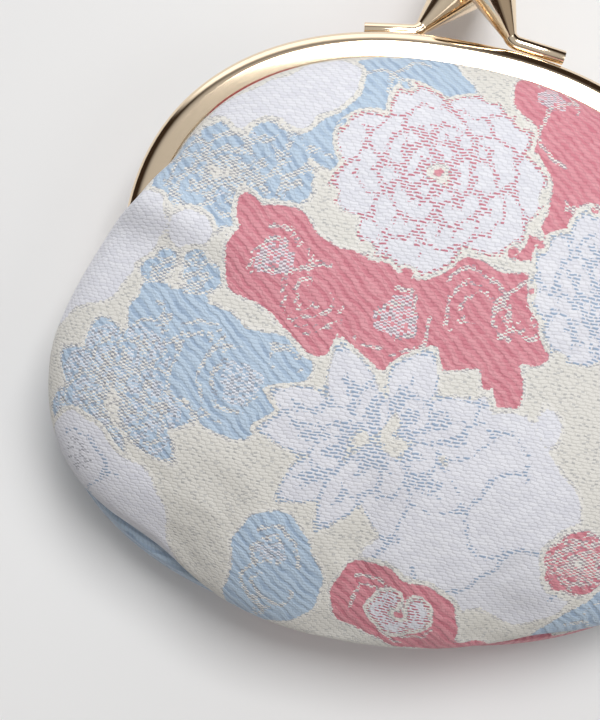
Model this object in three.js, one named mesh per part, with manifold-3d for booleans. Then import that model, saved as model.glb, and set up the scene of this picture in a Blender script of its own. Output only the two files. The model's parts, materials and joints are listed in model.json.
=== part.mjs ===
// Kiss-lock coin purse: a comb-shaped metal frame in two hinged halves, closed by two crossing beads,
// round a soft pouch of patterned cloth, wadding and lining.
// Millimetres. The purse lies on its back: +X to its right, +Y towards the clasp, +Z up out of its front.
// Pieces are drawn about the hinge axis, which runs along X, and the whole purse is then set on the floor.
import * as THREE from "three";
import { mergeVertices } from "three/addons/utils/BufferGeometryUtils.js";
import Module from "manifold-3d";

const wasm = await Module();
wasm.setup();

// Frame: two U-shaped channels of folded sheet, open towards the pouch.
const frameWidth = 100; // across the legs
const frameRise = 39.5; // hinge axis to the top of the arch
const archSquareness = 2.27; // 2 would be an ellipse
const channelDepth = 4.6;
const channelWidth = 4.4;
const sheet = 0.8;
const halvesApart = 0.4; // clearance between the closed halves
const legEnd = 3.2; // where a channel stops above the hinge axis

// Hinge: a lug on each leg end and a rivet through both.
const lugRadius = 2.6;
const lugReach = 6.4; // how far a lug's plate runs up into its channel
const lugClearance = 0.4;
const rivetRadius = 0.9;
const rivetPlay = 0.15;
const rivetHeadRadius = 1.9;
const rivetHeadThickness = 0.6;
const headClearance = 0.3;

// Pouch: two crowned panels that meet in one seam at mid-thickness.
const bagWidth = 116;
const bagDepth = 60.2; // hinge axis to the bottom seam
const widestBelow = 19.5; // hinge axis down to the widest place
const shoulderRise = 30; // how slowly the sides draw in towards the hinges
const seamSquareness = 2.4;
const crownHeight = 19; // highest place above mid-thickness
const crownBelow = 12; // hinge axis down to that place
const crownSquareness = 2.2;
const restHeight = 17; // mid-thickness above the floor
const seamGap = 0.3;
const sideClearance = 1.4; // cloth to the swinging end of a channel, round the hinges

// Plies, from outside to inside.
const fabricThickness = 0.7; // patterned cloth with its fused interfacing
const waddingThickness = 1.0;
const liningThickness = 0.3;
const plyGap = 0.25; // between plies in the pouch
const slotGap = 0.15; // between plies in the channel
const mouthGap = 0.35; // cloth to the channel's open edge
const hemTop = 1.1; // cloth edge to the channel's outer face
const hemOverlap = 0.6; // how far a hem runs into its panel

// The front panel folds where it crosses the hinge: angles about the axis, from +Y towards +Z.
const foldStart = THREE.MathUtils.degToRad(48);
const foldEnd = THREE.MathUtils.degToRad(136);
const foldGap = 0.3;

// Clasp: a bar lying on each arch, bent up into a flaring stem with a bead.
const barDiameter = 2.4;
const barLength = 9;
const barGap = 0.2;
const stemFoot = 7.5; // stem foot to the middle of the arch
const stemLean = THREE.MathUtils.degToRad(33);
const stemLength = 14.5; // foot to bead centre
const beadRadius = 5.5;
const beadGap = 0.4;
const bendRadius = 1.6;

// Facets.
const archSteps = 24;
const seamSteps = 16;
const crownSteps = 7;
const roundSides = 12;
const cordSides = 6;
const barSteps = 8;

// Worked out from the sizes above.
const slotWidth = channelWidth - 2 * sheet;
const cordDiameter = slotWidth - fabricThickness - liningThickness - 4 * slotGap;
const channelLow = halvesApart / 2;
const channelHigh = channelLow + channelWidth;
const channelMiddle = (channelLow + channelHigh) / 2;
const slotHigh = channelHigh - sheet;
const clothInset = channelDepth + mouthGap;
const hingeX = frameWidth / 2;
const sideOpening = Math.hypot(legEnd, channelHigh) + sideClearance;

const plies = {
  panel: { top: 0, thickness: fabricThickness, slotTop: slotGap },
  wadding: { top: fabricThickness + plyGap, thickness: waddingThickness, slotTop: null },
  lining: {
    top: fabricThickness + waddingThickness + 2 * plyGap,
    thickness: liningThickness,
    slotTop: fabricThickness + 2 * slotGap,
  },
};

const gold = new THREE.MeshStandardMaterial({ color: 0xe3cda6, roughness: 0.22, metalness: 1 });
const jacquard = new THREE.MeshStandardMaterial({ color: 0xb9c6dc, roughness: 0.85, metalness: 0 });
const wool = new THREE.MeshStandardMaterial({ color: 0xf4f2ec, roughness: 0.95, metalness: 0 });
const cotton = new THREE.MeshStandardMaterial({ color: 0xe9e2d4, roughness: 0.9, metalness: 0 });
const paper = new THREE.MeshStandardMaterial({ color: 0xcdb48c, roughness: 0.95, metalness: 0 });

// ---- solids ----

function toSolid(geometry) {
  const bare = geometry.clone();
  bare.deleteAttribute("normal");
  bare.deleteAttribute("uv");
  const merged = mergeVertices(bare, 1e-4);
  return new wasm.Manifold(new wasm.Mesh({
    numProp: 3,
    vertProperties: new Float32Array(merged.attributes.position.array),
    triVerts: new Uint32Array(merged.index.array),
  }));
}

function toGeometry(solid) {
  const { vertProperties, triVerts } = solid.getMesh();
  const geometry = new THREE.BufferGeometry();
  geometry.setAttribute("position", new THREE.BufferAttribute(new Float32Array(vertProperties), 3));
  geometry.setIndex(new THREE.BufferAttribute(new Uint32Array(triVerts), 1));
  geometry.computeVertexNormals();
  return geometry;
}

// A closed skin over rings of points: each ring is joined to the next one, and both ends are capped.
function loft(rings, capTriangles) {
  const sides = rings[0].length;
  const index = [];
  for (let r = 0; r + 1 < rings.length; r += 1) {
    for (let i = 0; i < sides; i += 1) {
      const a = r * sides + i;
      const b = r * sides + ((i + 1) % sides);
      index.push(a, b, b + sides, a, b + sides, a + sides);
    }
  }
  const last = (rings.length - 1) * sides;
  for (const [a, b, c] of capTriangles) {
    index.push(a, c, b, last + a, last + b, last + c);
  }
  const geometry = new THREE.BufferGeometry().setFromPoints(rings.flat());
  geometry.setIndex(index);
  geometry.computeVertexNormals();
  return geometry;
}

// A prism along X of an outline drawn in the Y-Z plane.
function prismAlongX(outline, low, high) {
  const shape = new THREE.Shape(outline);
  const geometry = new THREE.ExtrudeGeometry(shape, { depth: high - low, bevelEnabled: false });
  const toYZ = new THREE.Matrix4().makeBasis(
    new THREE.Vector3(0, 1, 0), new THREE.Vector3(0, 0, 1), new THREE.Vector3(1, 0, 0));
  return geometry.applyMatrix4(toYZ).translate(low, 0, 0);
}

function cylinderAlongX(radius, low, high, sides) {
  const geometry = new THREE.CylinderGeometry(radius, radius, high - low, sides);
  return geometry.rotateZ(Math.PI / 2).translate((low + high) / 2, 0, 0);
}

// ---- the arch ----

// A station on the arch's outer edge: a point and the way inwards. angle runs from 0 at the right leg to PI.
function archStation(angle) {
  const half = frameWidth / 2;
  const [c, s] = [Math.cos(angle), Math.sin(angle)];
  const point = new THREE.Vector2(
    Math.sign(c) * half * Math.abs(c) ** (2 / archSquareness),
    frameRise * Math.abs(s) ** (2 / archSquareness));
  const outward = new THREE.Vector2(
    (Math.sign(c) * Math.abs(point.x / half) ** (archSquareness - 1)) / half,
    (point.y / frameRise) ** (archSquareness - 1) / frameRise).normalize();
  return { point, inward: outward.negate() };
}

function archAngleAtHeight(height) {
  return Math.asin((height / frameRise) ** (archSquareness / 2));
}

function archAngleAtX(x) {
  return Math.acos((x / (frameWidth / 2)) ** (archSquareness / 2));
}

// Stations from the right leg over the top to the left leg.
function archStations(bottom, steps = archSteps) {
  const low = archAngleAtHeight(bottom);
  return Array.from({ length: steps + 1 },
    (_, i) => archStation(low + ((Math.PI - 2 * low) * i) / steps));
}

function insetPoint({ point, inward }, inset) {
  return point.clone().addScaledVector(inward, inset);
}

// Sweeps a section drawn as [inset, z] pairs along the arch.
function sweepArch(section, bottom) {
  const rings = archStations(bottom).map((station) => section.map(([inset, z]) => {
    const p = insetPoint(station, inset);
    return new THREE.Vector3(p.x, p.y, z);
  }));
  const flat = section.map(([inset, z]) => new THREE.Vector2(inset, z));
  return loft(rings, THREE.ShapeUtils.triangulateShape(flat, []));
}

// ---- the frame halves ----

const channelSection = [
  [0, channelLow], [channelDepth, channelLow], [channelDepth, channelLow + sheet],
  [sheet, channelLow + sheet], [sheet, slotHigh], [channelDepth, slotHigh],
  [channelDepth, channelHigh], [0, channelHigh],
];

// A lug's outline: a round eye on the hinge axis, widening to the end of its channel.
function lugOutline() {
  const reach = legEnd + lugReach / 2;
  const outline = [new THREE.Vector2(reach, channelLow), new THREE.Vector2(reach, channelHigh)];
  const from = Math.PI / 3;
  const turn = 2 * Math.PI - from;
  for (let i = 0; i <= roundSides; i += 1) {
    const angle = from + (turn * i) / roundSides;
    outline.push(new THREE.Vector2(lugRadius * Math.cos(angle), lugRadius * Math.sin(angle)));
  }
  return outline;
}

// inner: the lug stands inside its channel's back, so that the two halves' lugs lie side by side.
function frameHalf(inner) {
  let solid = toSolid(sweepArch(channelSection, legEnd));
  const high = inner ? hingeX - sheet - lugClearance : hingeX;
  const eye = toSolid(prismAlongX(lugOutline(), high - sheet, high));
  const bore = toSolid(cylinderAlongX(rivetRadius + rivetPlay, -frameWidth, frameWidth, roundSides));
  const root = legEnd + lugReach / 2;
  const stepOutline = [[legEnd, channelLow], [root, channelLow], [root, channelHigh], [legEnd, channelHigh]]
    .map(([y, z]) => new THREE.Vector2(y, z));
  const step = toSolid(prismAlongX(stepOutline, high - sheet, hingeX - sheet / 2));
  for (const side of [eye, step]) {
    solid = solid.add(side).add(side.mirror([1, 0, 0]));
  }
  return solid.subtract(bore);
}

// ---- the pouch ----

// The seam's outline from the right side round the bottom to the left, drawn in by inset.
function seamOutline(inset) {
  const half = bagWidth / 2 - inset;
  const depth = bagDepth - widestBelow - inset;
  const shoulder = Math.asin(((widestBelow - sideOpening / 2) / shoulderRise) ** (seamSquareness / 2));
  return Array.from({ length: seamSteps + 1 }, (_, i) => {
    const angle = -shoulder + ((Math.PI + 2 * shoulder) * i) / seamSteps;
    const [c, s] = [Math.cos(angle), Math.sin(angle)];
    const down = Math.sign(s) * (s < 0 ? shoulderRise : depth) * Math.abs(s) ** (2 / seamSquareness);
    return new THREE.Vector2(Math.sign(c) * half * Math.abs(c) ** (2 / seamSquareness), -widestBelow - down);
  });
}

// The edge of a crowned skin: the seam, then back over the arch. Each point has its height above mid-thickness.
function skinEdge(inset, archHeight) {
  const seam = seamOutline(inset).map((p) => new THREE.Vector3(p.x, p.y, seamGap / 2));
  const arch = archStations(legEnd).reverse().map((station) => {
    const p = insetPoint(station, clothInset + inset);
    return new THREE.Vector3(p.x, p.y, archHeight);
  });
  return [...seam, ...arch];
}

// Rings of a crowned skin from its edge to its crown, none higher than limit.
function skinRings(inset, archHeight, limit) {
  const edge = skinEdge(inset, archHeight);
  return Array.from({ length: crownSteps }, (_, k) => {
    const share = Math.cos((Math.PI / 2) * (k / crownSteps));
    const lift = (1 - share ** crownSquareness) ** (1 / crownSquareness);
    return edge.map((p) => new THREE.Vector3(
      p.x * share,
      -crownBelow + (p.y + crownBelow) * share,
      Math.min(p.z + (crownHeight - inset - p.z) * lift, limit - inset)));
  });
}

function fan(start, count, centre, flip) {
  return Array.from({ length: count }, (_, i) => {
    const [a, b] = [start + i, start + ((i + 1) % count)];
    return flip ? [b, a, centre] : [a, b, centre];
  }).flat();
}

// A ply's crowned shell, from its outer skin to its inner skin, for the front half.
function crownedShell({ top, thickness, slotTop }, limit) {
  const slotBase = slotHigh - (slotTop ?? (plies.lining.slotTop - slotGap));
  const outer = skinRings(top, slotBase, limit);
  const inner = skinRings(top + thickness, slotTop === null ? slotBase : slotBase - thickness, limit);
  const rings = [...outer.reverse(), ...inner];
  const count = rings[0].length;
  const points = rings.flat();
  const index = [];
  for (let r = 0; r + 1 < rings.length; r += 1) {
    for (let i = 0; i < count; i += 1) {
      const a = r * count + i;
      const b = r * count + ((i + 1) % count);
      index.push(a, b + count, a + count, a, b, b + count);
    }
  }
  const height = (depth) => Math.min(crownHeight, limit) - depth;
  points.push(new THREE.Vector3(0, -crownBelow, height(top)));
  points.push(new THREE.Vector3(0, -crownBelow, height(top + thickness)));
  index.push(...fan(0, count, points.length - 2, true));
  index.push(...fan((rings.length - 1) * count, count, points.length - 1, false));
  const geometry = new THREE.BufferGeometry().setFromPoints(points);
  geometry.setIndex(index);
  return geometry;
}

// The edge of a ply that is held in the channel.
function hem({ top, thickness, slotTop }) {
  const high = slotHigh - slotTop;
  const inner = clothInset + top + hemOverlap;
  return sweepArch([[hemTop, high - thickness], [inner, high - thickness], [inner, high], [hemTop, high]],
    sideOpening);
}

function ply(kind, limit) {
  let solid = toSolid(crownedShell(kind, limit));
  if (kind.slotTop !== null) {
    solid = solid.add(toSolid(hem(kind)));
  }
  return solid.subtract(toSolid(cylinderAlongX(sideOpening, -bagWidth, bagWidth, roundSides)));
}

// The part of space between two planes through the hinge axis, less a gap along each.
function wedge(from, to) {
  const far = 4 * bagDepth;
  const middle = (from + to) / 2;
  const back = foldGap / 2 / Math.sin((to - from) / 2);
  const apex = new THREE.Vector2(back * Math.cos(middle), back * Math.sin(middle));
  const arm = (angle) => apex.clone().add(new THREE.Vector2(far * Math.cos(angle), far * Math.sin(angle)));
  return toSolid(prismAlongX([apex, arm(from), arm(middle), arm(to)], -bagWidth, bagWidth));
}

// ---- clasp, rivets, cord ----

function clasp() {
  const onArch = (x, offset) => {
    const station = archStation(archAngleAtX(x));
    const p = insetPoint(station, -offset);
    return new THREE.Vector3(p.x, p.y, channelMiddle);
  };
  const offset = barDiameter / 2 + barGap;
  const foot = onArch(stemFoot, offset);
  const beadHeight = beadRadius + beadGap / 2;
  const rise = Math.sqrt(stemLength ** 2 - (beadHeight - channelMiddle) ** 2);
  const bead = new THREE.Vector3(
    foot.x - rise * Math.sin(stemLean), foot.y + rise * Math.cos(stemLean), beadHeight);
  const along = bead.clone().sub(foot).normalize();

  const path = new THREE.CatmullRomCurve3([
    onArch(stemFoot + barLength, offset), onArch(stemFoot + barLength / 2, offset),
    onArch(stemFoot + bendRadius, offset), foot.clone().addScaledVector(along, bendRadius),
    foot.clone().addScaledVector(along, 2 * bendRadius),
  ]);
  const circle = new THREE.Shape().absarc(0, 0, barDiameter / 2, 0, 2 * Math.PI);
  const bar = new THREE.ExtrudeGeometry(circle, { steps: barSteps, curveSegments: roundSides / 2, extrudePath: path });

  // The stem flares until it touches the bead: the flare's half angle makes the two tangent.
  const wire = barDiameter / 2;
  const flare = Math.asin((beadRadius - wire) / stemLength);
  const profile = [new THREE.Vector2(0, bendRadius), new THREE.Vector2(wire * 0.98, bendRadius)];
  const arcSteps = roundSides / 2;
  for (let i = 0; i < arcSteps; i += 1) {
    const angle = -flare + ((Math.PI / 2 + flare) * i) / arcSteps;
    profile.push(new THREE.Vector2(
      beadRadius * Math.cos(angle), stemLength + beadRadius * Math.sin(angle)));
  }
  profile.push(new THREE.Vector2(0, stemLength + beadRadius));
  const stem = new THREE.LatheGeometry(profile, roundSides);
  stem.applyQuaternion(new THREE.Quaternion().setFromUnitVectors(new THREE.Vector3(0, 1, 0), along));
  stem.translate(foot.x, foot.y, foot.z);
  return toSolid(bar).add(toSolid(stem));
}

function rivet() {
  const outerFace = hingeX + headClearance;
  const innerFace = hingeX - 2 * sheet - lugClearance - headClearance;
  const profile = [
    [0, innerFace - rivetHeadThickness], [rivetHeadRadius, innerFace - rivetHeadThickness],
    [rivetHeadRadius, innerFace], [rivetRadius, innerFace], [rivetRadius, outerFace],
    [rivetHeadRadius, outerFace], [rivetHeadRadius * 0.7, outerFace + rivetHeadThickness],
    [0, outerFace + rivetHeadThickness],
  ].map(([r, x]) => new THREE.Vector2(r, x));
  return new THREE.LatheGeometry(profile, roundSides).rotateZ(-Math.PI / 2);
}

function paperCord() {
  const z = channelLow + sheet + slotGap + cordDiameter / 2;
  const inset = sheet + slotGap + cordDiameter / 2;
  const points = archStations(sideOpening).map((station) => {
    const p = insetPoint(station, inset);
    return new THREE.Vector3(p.x, p.y, z);
  });
  const circle = new THREE.Shape().absarc(0, 0, cordDiameter / 2, 0, 2 * Math.PI);
  const path = new THREE.CatmullRomCurve3(points);
  return new THREE.ExtrudeGeometry(circle, { steps: archSteps, curveSegments: cordSides / 2, extrudePath: path });
}

// ---- assembly ----

const purse = new THREE.Group();

function addPiece(name, geometry, material) {
  const mesh = new THREE.Mesh(geometry, material);
  mesh.name = name;
  purse.add(mesh);
}

const toRear = [0, 0, 1];

addPiece("front_frame", toGeometry(frameHalf(true)), gold);
addPiece("rear_frame", toGeometry(frameHalf(false).mirror(toRear)), gold);
addPiece("front_clasp", toGeometry(clasp()), gold);
addPiece("rear_clasp", toGeometry(clasp().mirror(toRear).mirror([1, 0, 0])), gold);
addPiece("right_hinge_rivet", rivet(), gold);
addPiece("left_hinge_rivet", rivet().rotateZ(Math.PI), gold);
addPiece("front_paper_cord", paperCord(), paper);
addPiece("rear_paper_cord", toGeometry(toSolid(paperCord()).mirror(toRear)), paper);

const clothMaterials = { panel: jacquard, wadding: wool, lining: cotton };
for (const [name, kind] of Object.entries(plies)) {
  const material = clothMaterials[name];
  addPiece(`rear_${name}`, toGeometry(ply(kind, restHeight).mirror(toRear)), material);
  const front = ply(kind, crownHeight);
  const parts = { mouth: [-foldGap, foldStart], fold: [foldStart, foldEnd], pouch: [foldEnd, Math.PI + foldGap] };
  for (const [part, [from, to]] of Object.entries(parts)) {
    addPiece(`front_${name}_${part}`, toGeometry(front.intersect(wedge(from, to))), material);
  }
}

// Stand the purse on the floor, centred on the origin.
const box = new THREE.Box3().setFromObject(purse);
purse.position.set(0, -(box.min.y + box.max.y) / 2, -box.min.z);

export default purse;
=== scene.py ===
"""Looks of a kiss-lock coin purse: a jacquard pouch, padded and lined, on a hinged gold plated frame.

Lengths inside the classes are millimetres about the hinge axis: +x to the purse's right, +y towards the
clasp, +z up out of the front panel. Placing turns them into the row frame's metres.
"""

import json
import logging
import math
from collections.abc import Callable, Iterable
from dataclasses import dataclass, field
from enum import Enum

import bmesh
import bpy
import numpy as np
from mathutils import Matrix, Vector

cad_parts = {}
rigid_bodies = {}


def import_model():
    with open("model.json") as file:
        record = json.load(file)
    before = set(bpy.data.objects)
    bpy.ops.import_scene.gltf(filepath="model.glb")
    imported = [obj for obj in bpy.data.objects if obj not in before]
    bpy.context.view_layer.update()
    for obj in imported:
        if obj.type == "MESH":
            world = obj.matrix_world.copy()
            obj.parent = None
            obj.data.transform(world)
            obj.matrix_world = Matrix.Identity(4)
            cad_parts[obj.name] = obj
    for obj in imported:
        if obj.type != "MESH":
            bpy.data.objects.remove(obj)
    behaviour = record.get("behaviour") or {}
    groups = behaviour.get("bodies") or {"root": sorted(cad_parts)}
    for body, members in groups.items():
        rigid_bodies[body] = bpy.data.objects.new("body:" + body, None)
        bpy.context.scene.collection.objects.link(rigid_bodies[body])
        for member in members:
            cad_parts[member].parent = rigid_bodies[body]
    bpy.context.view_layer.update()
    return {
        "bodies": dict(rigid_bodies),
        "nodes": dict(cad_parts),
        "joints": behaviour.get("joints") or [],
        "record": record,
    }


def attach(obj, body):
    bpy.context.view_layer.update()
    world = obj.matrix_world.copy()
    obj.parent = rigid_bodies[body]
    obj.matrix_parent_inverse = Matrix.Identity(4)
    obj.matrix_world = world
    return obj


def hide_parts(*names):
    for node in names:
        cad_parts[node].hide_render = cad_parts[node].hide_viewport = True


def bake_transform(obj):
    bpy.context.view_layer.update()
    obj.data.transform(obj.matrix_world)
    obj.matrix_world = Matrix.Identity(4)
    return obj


LOG = logging.getLogger("purse")
MM = 0.001
# How far from where it is looked for an edge or a face may be, in millimetres.
NEAR = 0.01


# ---- placing ----


@dataclass(frozen=True)
class Placing:
    """Where the hinge axis stands in the row frame.

    Attributes:
        hinge_y: the axis's y, in metres.
        hinge_z: the axis's height above the surface the purse lies on, in metres.
    """

    hinge_y: float
    hinge_z: float

    def points(self, local: np.ndarray) -> np.ndarray:
        """Turns millimetres about the hinge axis into the row frame's metres.

        Args:
            local: points, any shape ending in 3.

        Returns:
            The same points in metres.
        """
        return np.asarray(local, float) * MM + np.array([0.0, self.hinge_y, self.hinge_z])

    def matrix(self) -> Matrix:
        """Returns the matrix that does what points does."""
        return Matrix.Translation((0, self.hinge_y, self.hinge_z)) @ Matrix.Scale(MM, 4)


class Side(Enum):
    """The two halves of the purse; the value is the sign of z."""

    FRONT = 1
    REAR = -1

    @property
    def body(self) -> str:
        """Returns the name of the CAD body this half rides on."""
        return "front_half" if self is Side.FRONT else "rear_half"

    @property
    def word(self) -> str:
        """Returns front or rear, as in the nodes' names."""
        return self.name.lower()


# ---- node helpers ----


def linear(colour: str) -> tuple[float, float, float, float]:
    """Turns an sRGB hex colour into linear RGBA.

    Args:
        colour: such as "#E9E2D4".

    Returns:
        Red, green, blue and an alpha of 1.
    """
    parts = [int(colour[i : i + 2], 16) / 255 for i in (1, 3, 5)]
    red, green, blue = (p / 12.92 if p <= 0.04045 else ((p + 0.055) / 1.055) ** 2.4 for p in parts)
    return red, green, blue, 1.0


def add_node(
    tree: bpy.types.NodeTree, kind: str, inputs: dict | None = None, **settings: object
) -> bpy.types.Node:
    """Adds a node with its settings and what goes into it.

    Args:
        tree: the material's or world's node tree.
        kind: the node's type without its ShaderNode prefix.
        inputs: socket name or index, to a value or to the output socket linked into it.
        settings: the node's own properties.

    Returns:
        The node.
    """
    node = tree.nodes.new("ShaderNode" + kind)
    for name, value in settings.items():
        setattr(node, name, value)
    for key, value in (inputs or {}).items():
        if isinstance(value, bpy.types.NodeSocket):
            tree.links.new(value, node.inputs[key])
        else:
            node.inputs[key].default_value = value
    return node


class Graph:
    """A material's node tree, with arithmetic on its sockets.

    Attributes:
        tree: the node tree.
    """

    def __init__(self, tree: bpy.types.NodeTree) -> None:
        """Takes the tree that the nodes go into."""
        self.tree = tree

    def add(self, kind: str, inputs: dict | None = None, **settings: object) -> bpy.types.Node:
        """Adds a node; see add_node."""
        return add_node(self.tree, kind, inputs, **settings)

    def math(self, operation: str, *values: object, clamp: bool = False) -> bpy.types.NodeSocket:
        """Adds a Math node.

        Args:
            operation: such as "ADD".
            values: numbers or sockets, one per input.
            clamp: keeps the result between 0 and 1.

        Returns:
            The result's socket.
        """
        inputs = dict(enumerate(values))
        return self.add("Math", inputs, operation=operation, use_clamp=clamp).outputs[0]

    def ramp(self, value: object, low: float, high: float, to: tuple = (0.0, 1.0)) -> bpy.types.NodeSocket:
        """Maps value from low..high to the two values of to, smoothly and clamped.

        Args:
            value: the socket that is mapped.
            low: where the first value holds.
            high: where the second value holds.
            to: the two values.

        Returns:
            The result's socket.
        """
        inputs = {"Value": value, "From Min": low, "From Max": high, "To Min": to[0], "To Max": to[1]}
        return self.add("MapRange", inputs, interpolation_type="SMOOTHSTEP").outputs["Result"]

    def mix(self, share: object, first: object, second: object) -> bpy.types.NodeSocket:
        """Mixes two colours.

        Args:
            share: 0 for the first, 1 for the second.
            first: a colour or a socket.
            second: a colour or a socket.

        Returns:
            The mixed colour's socket.
        """
        inputs = {0: share, 6: first, 7: second}
        return self.add("Mix", inputs, data_type="RGBA").outputs[2]


def new_material(name: str) -> tuple[bpy.types.Material, Graph, bpy.types.Node]:
    """Makes a material with only its Principled shader and output.

    Args:
        name: the material's name.

    Returns:
        The material, its graph and the shader node.
    """
    material = bpy.data.materials.new(name)
    material.use_nodes = True
    shader = material.node_tree.nodes["Principled BSDF"]
    return material, Graph(material.node_tree), shader


# ---- finishes ----


@dataclass(frozen=True)
class GoldPlate:
    """Pale gold plating on polished steel: mirror-like, with a faint unevenness from polishing."""

    colour: str = "#F8E3C6"
    roughness: float = 0.10
    wave_mm: float = 9.0
    wave_height_mm: float = 0.05
    wave_strength: float = 0.15
    haze_mm: float = 0.35
    haze: float = 0.07

    def material(self) -> bpy.types.Material:
        """Builds the finish's nodes.

        Returns:
            The material.
        """
        made, graph, shader = new_material("polished_gold_plate")
        place = graph.add("TexCoord").outputs["Object"]
        wave = graph.add("TexNoise", {"Vector": place, "Scale": 1 / (self.wave_mm * MM), "Detail": 1.0})
        haze = graph.add("TexNoise", {"Vector": place, "Scale": 1 / (self.haze_mm * MM), "Detail": 3.0})
        shader.inputs["Base Color"].default_value = linear(self.colour)
        shader.inputs["Metallic"].default_value = 1.0
        uneven = graph.math("MULTIPLY", haze.outputs["Fac"], self.haze)
        rough = graph.math("ADD", uneven, self.roughness - self.haze / 2)
        graph.tree.links.new(rough, shader.inputs["Roughness"])
        bump = graph.add("Bump", {"Height": wave.outputs["Fac"], "Distance": self.wave_height_mm * MM,
                                  "Strength": self.wave_strength})
        graph.tree.links.new(bump.outputs["Normal"], shader.inputs["Normal"])
        return made


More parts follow.
